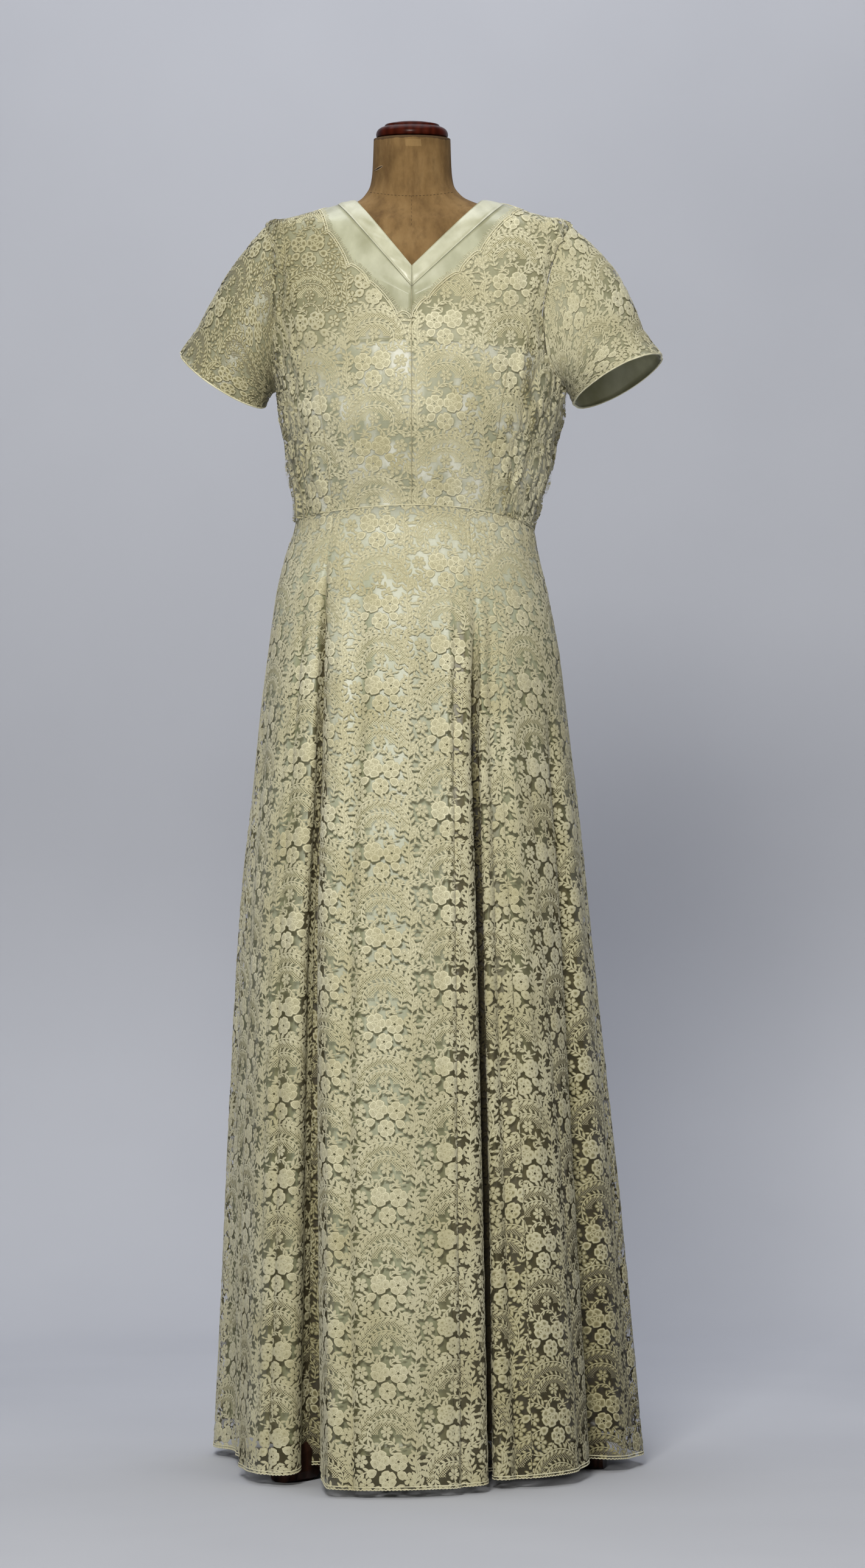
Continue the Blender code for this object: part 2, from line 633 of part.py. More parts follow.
def form_rings():
    """The form's sections from its base up to the top of the neck."""
    angle = np.arange(FORM_SIDES) * 2 * math.pi / FORM_SIDES
    rings = []
    for height in (FORM_BOTTOM, *FORM_HEIGHTS):
        drop = SHOULDER_DROP * np.clip((height - DROP_START) / DROP_SPAN, 0.0, 1.0)
        ring = section_point(angle, np.full(FORM_SIDES, height + drop))
        size = np.linalg.norm(ring, axis=1, keepdims=True)
        inset = np.interp(
            height,
            column(FORM_INSETS, INSET_COLUMNS, "height"),
            column(FORM_INSETS, INSET_COLUMNS, "inset"),
        )
        ring = ring * (1 - inset / size)
        if height > ARM_PLATE_BOTTOM:
            ring[:, 0] = np.clip(ring[:, 0], -ARM_PLATE, ARM_PLATE)
        rings.append(np.column_stack([ring, np.full(FORM_SIDES, height)]))
    for row in FORM_NECK:
        size = dict(zip(NECK_COLUMNS, row))
        wide = np.where(np.cos(angle) >= 0, size["right"], size["left"])
        deep = np.where(np.sin(angle) >= 0, size["front"], size["back"])
        height = np.full(FORM_SIDES, size["height"])
        rings.append(np.column_stack([wide * np.cos(angle), -deep * np.sin(angle), height]))
    return rings


def loft(name, rings, material, collection):
    """A closed body through rings of one count of points, with flat ends."""
    mesh = bmesh.new()
    verts = [[mesh.verts.new(p) for p in ring] for ring in rings]
    count = len(verts[0])
    for low, high in zip(verts, verts[1:]):
        for i in range(count):
            j = (i + 1) % count
            mesh.faces.new((low[i], low[j], high[j], high[i]))
    mesh.faces.new(verts[0][::-1])
    mesh.faces.new(verts[-1])
    bmesh.ops.recalc_face_normals(mesh, faces=mesh.faces)
    data = bpy.data.meshes.new(name)
    mesh.to_mesh(data)
    mesh.free()
    data.shade_smooth()
    return add_object(name, data, material, collection)


def turned(name, profile, material, collection):
    """A turned piece: its outline, top to bottom, swept round the axis."""
    data = bpy.data.meshes.new(name)
    points = [(radius, 0.0, height) for radius, height in profile]
    data.from_pydata(points, [(i, i + 1) for i in range(len(points) - 1)], [])
    obj = add_object(name, data, material, collection)
    screw = obj.modifiers.new("Turn", "SCREW")
    screw.steps = TURNED_SIDES
    screw.render_steps = TURNED_SIDES
    screw.use_merge_vertices = True
    screw.merge_threshold = MERGE
    screw.use_smooth_shade = True
    return obj


def build_leg(number, angle, collection):
    """One carved leg, which ends in a flat-bottomed foot."""
    turn = math.radians(angle)
    outward = np.array([math.cos(turn), -math.sin(turn), 0.0])
    sideways = np.array([math.sin(turn), math.cos(turn), 0.0])
    corner = np.arange(LEG_SECTION_SIDES) * 2 * math.pi / LEG_SECTION_SIDES + math.pi / LEG_SECTION_SIDES
    rings = []
    across = np.sign(np.cos(corner)) * np.abs(np.cos(corner)) ** LEG_ROUNDING
    up = np.sign(np.sin(corner)) * np.abs(np.sin(corner)) ** LEG_ROUNDING
    up = up / np.max(np.abs(up))
    for station in LEG_STATIONS:
        size = dict(zip(LEG_COLUMNS, station))
        ring = outward * size["out"] + sideways * (across * size["half_width"])[:, None]
        ring[:, 2] = (size["top"] + size["bottom"]) / 2 + up * (size["top"] - size["bottom"]) / 2
        rings.append(ring)
    return loft(f"stand_leg_{number}", rings, "dark_wood", collection)


def main():
    clear_scene()
    collection = bpy.data.collections.new("lace_gown_on_form")
    bpy.context.scene.collection.children.link(collection)
    for side in ("left", "right"):
        build_bodice_front(side, collection)
        build_sleeve(side, collection)
    build_bodice_back(collection)
    build_skirt(collection)
    loft("form_torso", form_rings(), "canvas", collection)
    turned("form_neck_cap", CAP_PROFILE, "wood", collection)
    turned("stand_column", COLUMN_PROFILE, "dark_wood", collection)
    for number, angle in enumerate(LEG_ANGLES, start=1):
        build_leg(number, angle, collection)


main()
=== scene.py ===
"""The looks of a floor-length lace gown over satin, on a canvas dress form with a wooden tripod stand."""

import math

import bpy
import numpy as np
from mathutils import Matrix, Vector


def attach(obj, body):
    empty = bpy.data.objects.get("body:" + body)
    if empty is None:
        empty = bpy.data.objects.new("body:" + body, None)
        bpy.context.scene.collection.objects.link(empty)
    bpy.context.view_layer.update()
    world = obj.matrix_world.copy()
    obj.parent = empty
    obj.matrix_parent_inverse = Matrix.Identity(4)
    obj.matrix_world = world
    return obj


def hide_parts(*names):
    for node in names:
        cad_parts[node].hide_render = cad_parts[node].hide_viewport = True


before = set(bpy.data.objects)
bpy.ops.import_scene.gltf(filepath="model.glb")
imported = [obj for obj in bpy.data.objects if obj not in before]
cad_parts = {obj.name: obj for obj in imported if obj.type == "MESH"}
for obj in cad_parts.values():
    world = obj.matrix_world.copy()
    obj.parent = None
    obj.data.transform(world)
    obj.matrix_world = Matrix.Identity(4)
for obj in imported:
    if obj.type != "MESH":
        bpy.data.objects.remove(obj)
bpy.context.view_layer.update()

# Sizes are in metres: +X is the viewer's right, -Y the front, +Z up.
# The tables are measured from the form's upright axis, with "front" growing towards -Y.
FORM_AXIS_X = -0.011
FORM_AXIS_Y = 0.020
AXIS = np.array([FORM_AXIS_X, FORM_AXIS_Y, 0.0])

SIGN = {"left": -1.0, "right": 1.0}

# The sections are those of the gown's outer face. The satin lies COVER inside them, and the lace's net and
# its motifs are lifted over the satin.
SATIN_WALL = 0.0010
COVER = 0.0016
SATIN_SIDES = (-SATIN_WALL, 0.0)
NET_LIFT = 0.0011
MOTIF_LIFT = NET_LIFT + 0.0001
SEAM_GAP = 0.0003
# Half the step over which a slope is taken, and the distance at which two points become one.
NUDGE = 1e-4
MERGE = 1e-6

SECTION_COLUMNS = ("height", "left", "right", "front", "back")
SECTIONS = (
    (0.010, 0.215, 0.245, 0.290, 0.262),
    (0.168, 0.212, 0.237, 0.275, 0.248),
    (0.326, 0.210, 0.228, 0.255, 0.234),
    (0.492, 0.206, 0.216, 0.232, 0.217),
    (0.660, 0.200, 0.204, 0.205, 0.197),
    (0.784, 0.190, 0.195, 0.183, 0.180),
    (0.909, 0.179, 0.1825, 0.158, 0.163),
    (0.972, 0.1715, 0.1755, 0.145, 0.153),
    (1.044, 0.1625, 0.1625, 0.128, 0.135),
    (1.098, 0.1490, 0.1500, 0.112, 0.112),
    (1.128, 0.1395, 0.1460, 0.104, 0.100),
    (1.150, 0.1405, 0.1520, 0.107, 0.099),
    (1.185, 0.1460, 0.1640, 0.119, 0.103),
    (1.227, 0.1500, 0.1710, 0.131, 0.109),
    (1.256, 0.1570, 0.1790, 0.136, 0.113),
    (1.287, 0.1606, 0.1825, 0.135, 0.117),
    (1.340, 0.1760, 0.1900, 0.127, 0.121),
    (1.400, 0.1850, 0.1970, 0.111, 0.116),
    (1.450, 0.1830, 0.1975, 0.092, 0.102),
    (1.482, 0.1750, 0.1900, 0.076, 0.087),
    (1.500, 0.1180, 0.1380, 0.063, 0.073),
    (1.509, 0.0910, 0.1124, 0.056, 0.065),
    (1.514, 0.0704, 0.0870, 0.052, 0.060),
)
ARMHOLE_COLUMNS = ("height", "left", "right")
ARMHOLE = (
    (1.287, 0.1606, 0.1825),
    (1.300, 0.1620, 0.1720),
    (1.330, 0.1640, 0.1590),
    (1.365, 0.1645, 0.1560),
    (1.410, 0.1640, 0.1610),
    (1.450, 0.1655, 0.1720),
    (1.482, 0.1750, 0.1900),
)
# The rows of the bodice: the height at the centre front, at the centre back and at the outer edge.
BODICE_COLUMNS = ("row", "front", "back", "edge")
BODICE_ROWS = (
    ("waist", 1.144, 1.130, 1.124),
    ("midriff", 1.182, 1.170, 1.165),
    ("underbust", 1.222, 1.211, 1.207),
    ("bust", 1.262, 1.253, 1.248),
    ("armpit", 1.302, 1.296, 1.287),
    ("underarm", 1.321, 1.317, 1.303),
    ("yoke_seam", 1.339, 1.338, 1.328),
    ("chest", 1.354, 1.378, 1.374),
    ("blade", 1.368, 1.412, 1.420),
    ("upper_chest", 1.381, 1.438, 1.458),
    ("shoulder_point", 1.390, 1.456, 1.482),
    ("shoulder_middle", 1.396, 1.467, 1.497),
    ("band_edge", 1.402, 1.475, 1.509),
    ("neckline", 1.4274, 1.499, 1.514),
)
# Cusps between the scallops of the lace's upper edge, from the shoulder in to the centre seam.
SCALLOP_COLUMNS = ("out", "height")
SCALLOPS = {
    "left": (
        (0.1112, 1.4990),
        (0.0985, 1.4686),
        (0.0738, 1.4270),
        (0.0500, 1.4070),
        (0.0160, 1.3660),
        (0.0000, 1.3620),
    ),
    "right": (
        (0.1435, 1.5030),
        (0.1158, 1.4880),
        (0.0805, 1.4440),
        (0.0551, 1.4180),
        (0.0185, 1.3860),
        (0.0000, 1.3640),
    ),
    "back": (
        (0.1270, 1.4990),
        (0.0950, 1.4700),
        (0.0600, 1.4520),
        (0.0280, 1.4440),
        (0.0000, 1.4420),
    ),
}
SCALLOP_RISE = 0.007
ABOVE_ALL = 2.0

# The skirt, a row for each fold, its sides and the valleys between, round from the viewer's right side
# over the front.
FOLD_COLUMNS = ("name", "waist_deg", "hip_deg", "hem_x", "hem_front", "hem_height", "start")
FOLDS = (
    ("side_right", 2, 2, 0.2710, 0.010, 0.013, 0.85),
    ("side_right_front", 14, 14, 0.2500, 0.066, 0.014, 0.85),
    ("valley_e", 25, 27, 0.2120, 0.098, 0.018, 0.90),
    ("fold_d_side", 36, 40, 0.1990, 0.150, 0.016, 0.95),
    ("fold_d_edge", 44, 49, 0.1830, 0.197, 0.014, 1.00),
    ("fold_d", 52, 57, 0.1400, 0.228, 0.012, 1.08),
    ("fold_d_left", 59, 63.5, 0.1010, 0.245, 0.012, 1.10),
    ("slit_right", 61, 65.5, 0.0965, 0.205, 0.013, 1.10),
    ("slit_left", 63, 67.5, 0.0885, 0.205, 0.013, 1.10),
    ("fold_c", 65.5, 70, 0.0845, 0.270, 0.010, 1.10),
    ("fold_c_left", 72, 75, 0.0540, 0.2900, 0.009, 1.05),
    ("front_right", 77, 79, 0.0400, 0.302, 0.009, 1.05),
    ("front", 95, 95, -0.0200, 0.317, 0.009, 1.05),
    ("front_left", 110, 109, -0.0640, 0.316, 0.009, 1.05),
    ("front_edge", 124, 121.5, -0.0920, 0.296, 0.010, 1.10),
    ("valley_ab_right", 128, 125, -0.1000, 0.215, 0.018, 1.10),
    ("valley_ab", 131.5, 127.5, -0.1200, 0.186, 0.020, 1.10),
    ("fold_a_edge", 135, 130.5, -0.1430, 0.213, 0.014, 1.10),
    ("fold_a", 142, 139, -0.1680, 0.205, 0.013, 1.05),
    ("fold_a_left", 150, 149, -0.1870, 0.172, 0.013, 1.00),
    ("side_left_front", 164, 164, -0.1990, 0.080, 0.012, 0.95),
    ("side_left", 180, 180, -0.2060, -0.020, 0.012, 0.95),
    ("side_left_fold", 190, 190, -0.2360, -0.080, 0.011, 0.90),
    ("side_left_back", 202, 202, -0.2200, -0.142, 0.011, 0.90),
    ("back_valley_1", 214, 214, -0.1640, -0.166, 0.012, 0.95),
    ("back_fold_1", 225, 225, -0.1680, -0.222, 0.011, 1.00),
    ("back_fold_1_side", 234, 234, -0.1300, -0.249, 0.011, 1.00),
    ("back_valley_2", 241, 241, -0.1180, -0.212, 0.012, 1.00),
    ("back_fold_2", 249, 249, -0.0900, -0.270, 0.011, 1.00),
    ("back_fold_2_side", 258, 258, -0.0450, -0.278, 0.011, 1.00),
    ("back_valley_3", 267, 267, -0.0120, -0.226, 0.012, 1.00),
    ("back", 275, 275, 0.0200, -0.272, 0.011, 1.00),
    ("back_fold_3", 284, 284, 0.0600, -0.268, 0.011, 1.00),
    ("back_valley_4", 293, 293, 0.0880, -0.208, 0.012, 1.00),
    ("back_fold_4", 303, 303, 0.1200, -0.250, 0.011, 1.00),
    ("back_fold_4_side", 313, 313, 0.1640, -0.226, 0.011, 1.00),
    ("back_valley_5", 325, 325, 0.1740, -0.160, 0.012, 0.95),
    ("side_right_fold", 338, 338, 0.2300, -0.130, 0.011, 0.90),
    ("side_right_back", 350, 350, 0.2480, -0.062, 0.012, 0.88),
)
HIP_HEIGHT = 0.80
FOLD_POWER = 1.15
LINING_HEM = 0.048
WAIST_HEIGHTS = {"side": 1.124, "front": 1.144, "back": 1.130}
WAIST_TILT = 0.005
WAIST_POWER = 1.5
# Slighter folds between the large ones: place in rows of the table above, width in rows, how far the
# cloth stands out or sinks, and the heights where it begins and ends.
CREASE_COLUMNS = ("place", "width", "rise", "top", "bottom")
CREASES = (
    (0.5, 0.25, -0.0030, 0.90, 0.0),
    (1.4, 0.30, 0.0030, 0.80, 0.0),
    (3.4, 0.22, -0.0025, 0.95, 0.0),
    (4.5, 0.22, 0.0025, 1.05, 0.3),
    (5.45, 0.20, -0.0030, 0.90, 0.0),
    (9.6, 0.16, -0.0026, 1.08, 0.0),
    (10.45, 0.16, 0.0020, 1.05, 0.0),
    (11.3, 0.14, -0.0030, 1.10, 0.1),
    (11.75, 0.16, 0.0026, 1.10, 0.0),
    (12.35, 0.15, -0.0034, 1.10, 0.0),
    (12.8, 0.14, 0.0020, 0.80, 0.0),
    (13.3, 0.20, -0.0028, 1.12, 0.2),
    (13.7, 0.15, 0.0026, 1.12, 0.0),
    (14.5, 0.12, 0.0016, 1.05, 0.0),
    (17.5, 0.20, -0.0022, 0.90, 0.0),
    (18.5, 0.25, -0.0030, 1.00, 0.0),
    (19.5, 0.18, 0.0030, 0.90, 0.0),
    (20.3, 0.16, -0.0036, 0.95, 0.0),
    (20.7, 0.14, 0.0026, 0.75, 0.0),
    (21.5, 0.25, -0.0030, 0.85, 0.0),
    (23.4, 0.25, 0.0030, 0.80, 0.0),
    (25.5, 0.25, -0.0030, 0.90, 0.0),
    (28.4, 0.25, -0.0035, 0.90, 0.0),
    (31.5, 0.25, 0.0030, 0.90, 0.0),
    (34.6, 0.25, -0.0035, 0.90, 0.0),
    (37.5, 0.30, 0.0030, 0.80, 0.0),
    (2.0, 0.30, -0.0140, 0.95, 0.0),
    (7.5, 0.62, -0.0240, 1.04, 0.0),
    (5.4, 0.24, -0.0060, 1.09, 0.0),
    (10.0, 0.22, -0.0060, 1.08, 0.0),
    (15.8, 0.40, -0.0190, 1.12, 0.0),
    (13.05, 0.20, -0.0060, 1.11, 0.0),
    (17.9, 0.22, -0.0060, 1.09, 0.0),
    (11.05, 0.20, -0.0045, 1.10, 0.35),
    (20.0, 0.32, -0.0060, 1.00, 0.0),
)
CREASE_FADE = 0.16
CREASE_WAVER = 0.12
WAVER_PITCH = 3.1
# Puckers under the waist seam and loose waves low down: how often they come round the skirt and up it,
# how high they are, and the heights between which they grow.
RIPPLE_COLUMNS = ("round", "up", "rise", "none", "full", "seed")
SKIRT_RIPPLES = ((5.0, 9.0, 0.0007, 1.02, 1.12, 3), (2.3, 2.2, 0.0014, 1.05, 0.75, 5))
# Painted shade deep in the folds: place and width in rows, how dark the lining and the lace are painted,
# and the heights where that begins and is full. What is turned to the right is painted darker toward the
# hem.
SHADE_COLUMNS = ("place", "width", "lining", "lace", "top", "full")
FOLD_SHADES = (
    (2.0, 0.6, 0.30, 0.20, 1.12, 0.80),
    (3.4, 0.5, 0.22, 0.12, 1.12, 0.80),
    (5.4, 0.5, 0.22, 0.12, 1.12, 0.80),
    (7.5, 0.85, 1.80, 1.50, 1.08, 0.62),
    (9.55, 0.55, 0.60, 0.0, 1.10, 0.95),
    (11.05, 0.2, 0.16, 0.08, 1.10, 0.95),
    (13.05, 0.2, 0.18, 0.08, 1.12, 1.00),
    (15.8, 0.55, 0.85, 0.60, 1.11, 0.95),
    (17.9, 0.4, 0.26, 0.12, 1.12, 0.95),
    (20.0, 0.5, 0.24, 0.12, 1.12, 0.80),
    *((place, 0.6, 0.30, 0.15, 1.12, 0.80) for place in (24.0, 27.0, 30.0, 33.0, 36.0)),
)
SHADE_WAVER = 0.10
# The painted shade on the right grows with the distance from a line to the right of the axis and below a
# height.
RIGHT_SHADE = {"lining": 3.8, "lace": 2.3}
RIGHT_START = (0.02, 1.15)
# Painted shade that darkens the lace toward the hem, from the first height down to the second, where it is
# full.
HEM_SHADE = {"lining": 0.0, "lace": 0.14}
HEM_SHADE_HEIGHTS = (0.75, 0.10)
# How far the lace hangs off its lining low down, and how far the lining sways in between its own folds.
LACE_HANG = 0.0045
LINING_SWAY = 0.0065
# Where the lace stays close to its lining, so that a narrow fold stays open: place, width and share.
DRAWN_IN = ((7.5, 1.8, 1.0), (15.8, 1.0, 0.8))
# The skirt's pieces, each between two rows of the folds' table.
LACE_GORES = (
    ("lace_skirt_side_front_right", "side_right", "fold_d"),
    ("lace_skirt_front", "fold_d", "valley_ab"),
    ("lace_skirt_side_front_left", "valley_ab", "side_left"),
    ("lace_skirt_back", "side_left", "side_right"),
)
LINING_PANELS = (
    ("satin_skirt_front", "side_right", "side_left"),
    ("satin_skirt_back", "side_left", "side_right"),
)

# The sleeves' hems: their outermost and innermost points, half their depth from front to back, how far
# they dip at the front, and how far the cap above them swells.
SLEEVE_COLUMNS = ("tip_out", "tip_height", "inner_out", "inner_height", "half_depth", "drop", "cap")
SLEEVES = {
    "left": (0.2760, 1.3300, 0.1770, 1.2690, 0.066, 0.018, 0.006),
    "right": (0.2985, 1.3250, 0.1950, 1.2720, 0.066, -0.014, 0.013),
}
# How far out of the armhole's seam the sleeves start, how much later they fall at the underarm, and how
# far down the cap swells, outwards and upwards.
SLEEVE_START = 0.0024
UNDERARM_EASE = 1.2
CAP_END = 0.8
CAP_OUT = 0.8
CAP_UP = 0.6

# The form under the gown: how far inside the satin it lies, how its shoulders drop under the satin's, its
# flat plates at the armholes, and the sections of its neck.
INSET_COLUMNS = ("height", "inset")
FORM_INSETS = (
    (0.800, 0.052),
    (0.812, 0.040),
    (0.930, 0.026),
    (1.044, 0.011),
    (1.120, 0.0046),
    (1.600, 0.0046),
)
SHOULDER_DROP = 0.0032
DROP_START = 1.40
DROP_SPAN = 0.04
FORM_BOTTOM = 0.800
FORM_SHOULDER = 1.478
ARM_PLATE = 0.1500
ARM_PLATE_BOTTOM = 1.27
NECK_COLUMNS = ("height", "left", "right", "front", "back")
FORM_NECK = (
    (1.4860, 0.1440, 0.1540, 0.0680, 0.0780),
    (1.4960, 0.1140, 0.1260, 0.0600, 0.0690),
    (1.5040, 0.0890, 0.0980, 0.0545, 0.0620),
    (1.5100, 0.0710, 0.0800, 0.0510, 0.0570),
    (1.5180, 0.0590, 0.0620, 0.0490, 0.0530),
    (1.5330, 0.0500, 0.0500, 0.0480, 0.0480),
    (1.5500, 0.0475, 0.0475, 0.0475, 0.0455),
    (1.5880, 0.0460, 0.0460, 0.0465, 0.0445),
)
# The outline of the turned neck cap: radius and height.
CAP_OUTLINE = (
    (0.0, 1.6085),
    (0.0160, 1.6083),
    (0.0228, 1.6074),
    (0.0238, 1.6066),
    (0.0250, 1.6062),
    (0.0300, 1.6061),
    (0.0322, 1.6053),
    (0.0330, 1.6040),
    (0.0334, 1.6026),
    (0.0368, 1.6018),
    (0.0402, 1.5998),
    (0.0423, 1.5970),
    (0.0431, 1.5940),
    (0.0430, 1.5915),
    (0.0424, 1.5902),
    (0.0410, 1.5896),
)

# The lace's repeat, in millimetres round the middle of one cluster of flowers. Each column of clusters
# lies half a repeat higher than the one before it.
COLUMN_STEP = 0.080
REPEAT_HEIGHT = 0.100
# Where each piece of lace starts in the repeat, across and up, and whether its repeat is mirrored.
LACE_STARTS = {
    "lace_skirt_side_front_right": (0.020, 0.010, False),
    "lace_skirt_front": (-0.078, 0.028, False),
    "lace_skirt_side_front_left": (0.050, 0.050, True),
    "lace_skirt_back": (0.000, 0.020, False),
    "lace_bodice_front_left": (-0.044, 0.010, False),
    "lace_bodice_front_right": (-0.040, 0.060, True),
    "lace_bodice_back": (0.000, 0.020, False),
    "lace_sleeve_left": (0.030, 0.010, False),
    "lace_sleeve_right": (0.030, 0.010, True),
}
# Petals, flowers, roses and daisies: centre, radius and turn in degrees. A petal on its own has its root,
# its direction in degrees, its length and its width.
MM = 0.001
FLOWERS = ((-13.5, 7, 11.6, 12), (8.5, 9, 12.4, 40), (-1, -13, 11.0, 0))
ROSES = ((8.5, 9, 12.4, 76),)
PETALS = (
    (12, -3, -24, 13, 11),
    (-12, -4, -142, 13, 11),
)
DAISIES = (
    (31, 8, 8.6, 10),
    (24, -19, 8.8, 0),
    (-27, -13, 8.4, 20),
    (0, 41, 7.4, 5),
)
# Leafy stems: the points they pass through, the leaves' length and their spacing, or 0 for a bare stem.
SPRAYS = (
    (((12, 17), (20, 24), (29, 27), (38, 23)), 8.8, 6.2),
    (((21, -4), (30, -7), (37, -14), (39, -25)), 9.0, 6.2),
    (((7, -21), (14, -30), (24, -34), (34, -32)), 8.8, 6.2),
    (((-33, 23), (-36, 38), (-31, 54), (-18, 67), (0, 72), (17, 68), (31, 56), (37, 40)), 9.8, 6.2),
    (((-21, 27), (-23, 40), (-16, 51), (0, 56), (15, 52), (23, 41), (22, 30)), 7.8, 5.8),
    (((-12, -20), (-20, -28), (-30, -30), (-40, -24)), 9.0, 6.2),
    (((-24, 12), (-33, 9), (-39, 0), (-39, -11)), 9.0, 6.2),
    (((48, 29), (46, 42), (48, 56), (46, 70)), 8.6, 6.0),
    (((-12, 22), (-7, 29), (0, 31), (7, 29), (12, 22)), 7.0, 5.8),
    (((38, 23), (44, 25), (48, 29)), 0, 0),
    (((-4, 17), (-9, 21), (-17, 23)), 7.0, 5.6),
    (((-30, -30), (-33, -38), (-30, -46)), 8.0, 6.0),
)
# Open-work grounds of crossed threads: centre, half width, half height, and the share left open inside.
HATCH_COLUMNS = ("x", "y", "wide", "high", "inner")
HATCHES = ((0, 38, 34, 32, 0.72), (0, 40, 19, 14, 0.55), (-34, -18, 8, 9, 0.0), (30, -12, 7, 9, 0.0))
ARCH_FOOT = -0.15
HATCH_PITCH = 0.0030
HATCH_THREAD = 0.30
# Heights of the motifs over the net: a cord's crest, a petal's middle, and the layers of petals.
CORD_CREST = 0.00032
FILLING = 0.00016
FIRST_LAYER = 0.00015
SECOND_LAYER = 0.00040
PETAL_OVERLAP = 0.0001
FLOWER_RING = 0.0004
DAISY_RING = 0.0002
DAISY_CREST = 0.00050
LEAF_CREST = 0.00045
STEM_CREST = 0.00050
# The other sizes of the motifs: the cord round a petal, a leaf's half width for its length, and a stem.
PETAL_CORD = 0.0010
PETAL_SIDES = 8
# A petal's outline: how its corners crowd along it, the depth and width of the notch at its tip, half its
# width, and how wide it is at its root and how much wider at its tip.
PETAL_POWER = 0.85
NOTCH_DEPTH = 0.05
NOTCH_WIDTH = 0.45
PETAL_HALF = 0.55
PETAL_ROOT = 0.76
PETAL_TIP = 0.24
INSET_LIMIT = 0.8
LEAF_WIDTH = 0.195
STEM_WIDTH = 0.0015
STEM_STEP = 0.0055
# Sizes of the parts of a flower, each as a share of its radius: how far out a petal starts, how long and
# wide it is, and the ring in the middle.
FLOWER_ROOT = 0.15
FLOWER_PETAL = (0.86, 1.02)
FLOWER_MIDDLE = 0.26
ROSE_PETAL = (0.56, 0.66)
DAISY_WIDTH = 0.31
DAISY_MIDDLE = 0.30
# The corners of a daisy's petal and of a leaf, as shares of their length and of their half width.
DAISY_ALONG = np.array([0.10, 0.42, 0.82, 1.0, 0.82, 0.42])
DAISY_ACROSS = np.array([0.0, -0.80, -1.0, 0.0, 1.0, 0.80])
LEAF_ALONG = np.array([0.0, 0.34, 0.76, 1.0, 0.70, 0.28])
LEAF_ACROSS = np.array([0.0, -0.95, -0.80, 0.0, 0.88, 1.0])
# How a spray's leaves are spread along it, how much and how often they vary in size, and how far they lean
# from it in degrees.
LEAF_SPREAD = 1.05
LEAF_VARIATION = 0.14
LEAF_WAVE = 2.1
LEAF_LEAN = (48, 5)
# The three circles of a flower's ring: how large they are and how high they lie.
RING_CIRCLES = ((1.0, 0.0), (0.74, 0.0004), (0.44, -0.0002))


def column(table, columns, name):
    return np.array([row[columns.index(name)] for row in table], float)


def looked_up(table, columns, name, height):
    """A column of a table whose first column is the height."""
    return smooth_between(column(table, columns, "height"), column(table, columns, name), height)


def unit(vectors):
    return vectors / np.maximum(np.linalg.norm(vectors, axis=-1, keepdims=True), 1e-12)


def smooth_between(knots, values, spots):
    """A monotone cubic through a table's rows, so that nothing bulges between two of them."""
    spots = np.asarray(spots, float)
    step = np.diff(knots)
    slope = np.diff(values) / step
    bend = np.zeros(len(knots))
    same = slope[:-1] * slope[1:] > 0
    low, high = 2 * step[1:] + step[:-1], step[1:] + 2 * step[:-1]
    first, second = np.where(same, slope[:-1], 1.0), np.where(same, slope[1:], 1.0)
    bend[1:-1] = np.where(same, (low + high) / (low / first + high / second), 0.0)
    bend[0], bend[-1] = slope[0], slope[-1]
    at = np.clip(np.searchsorted(knots, spots) - 1, 0, len(step) - 1)
    t = (spots - knots[at]) / step[at]
    start, end = values[at], values[at + 1]
    return (
        start * (1 + 2 * t) * (1 - t) ** 2
        + bend[at] * step[at] * t * (1 - t) ** 2
        + end * t**2 * (3 - 2 * t)
        - bend[at + 1] * step[at] * t**2 * (1 - t)
    )


LATTICE_SIZE = 97
LATTICE = np.random.default_rng(1948).random((LATTICE_SIZE, LATTICE_SIZE)) * 2 - 1
SEED_STEP = (17.3, 31.7)


def noise(x, y, seed=0):
    """Smooth noise from -1 to 1 with a lattice step of 1."""
    x, y = np.asarray(x, float) + seed * SEED_STEP[0], np.asarray(y, float) + seed * SEED_STEP[1]
    column_at, row_at = np.floor(x).astype(int), np.floor(y).astype(int)
    u, v = x - column_at, y - row_at
    u, v = u * u * (3 - 2 * u), v * v * (3 - 2 * v)

    def row(j):
        ends = [LATTICE[(row_at + j) % LATTICE_SIZE, (column_at + i) % LATTICE_SIZE] for i in (0, 1)]
        return ends[0] * (1 - u) + ends[1] * u

    return row(0) * (1 - v) + row(1) * v


def fade(low, high, value):
    """0 below low, 1 above high, and smooth between."""
    t = np.clip((value - low) / (high - low), 0.0, 1.0)
    return t * t * (3 - 2 * t)


def reach(direction, height):
    """How far the satin's outer face lies from the axis at a height."""
    return looked_up(SECTIONS, SECTION_COLUMNS, direction, height) - COVER


def body_surface(out, height, side, face):
    """Points and outward directions of the bodice, at a distance out to one side and a height."""
    sign_x, sign_y = SIGN[side], {"front": -1.0, "back": 1.0}[face]
    wide, deep = reach(side, height), reach(face, height)
    share = np.clip(out / wide, 0.0, 1.0)
    depth = deep * np.sqrt(1.0 - share**2)

    def slope(direction):
        return (reach(direction, height + NUDGE) - reach(direction, height - NUDGE)) / (2 * NUDGE)

    points = np.stack([sign_x * share * wide, sign_y * depth, height + 0 * share], axis=-1)
    tilt = -(share**2) * slope(side) / wide - depth**2 * slope(face) / deep**3
    return points, unit(np.stack([sign_x * share / wide, sign_y * depth / deep**2, tilt], axis=-1))


def waist_height(angle):
    """The waist seam, which rises in the middle of the front."""
    front = np.maximum(np.sin(angle), 0.0) ** WAIST_POWER
    back = np.maximum(-np.sin(angle), 0.0) ** WAIST_POWER
    side = WAIST_HEIGHTS["side"] - WAIST_TILT * np.cos(angle)
    return side + (WAIST_HEIGHTS["front"] - side) * front + (WAIST_HEIGHTS["back"] - side) * back


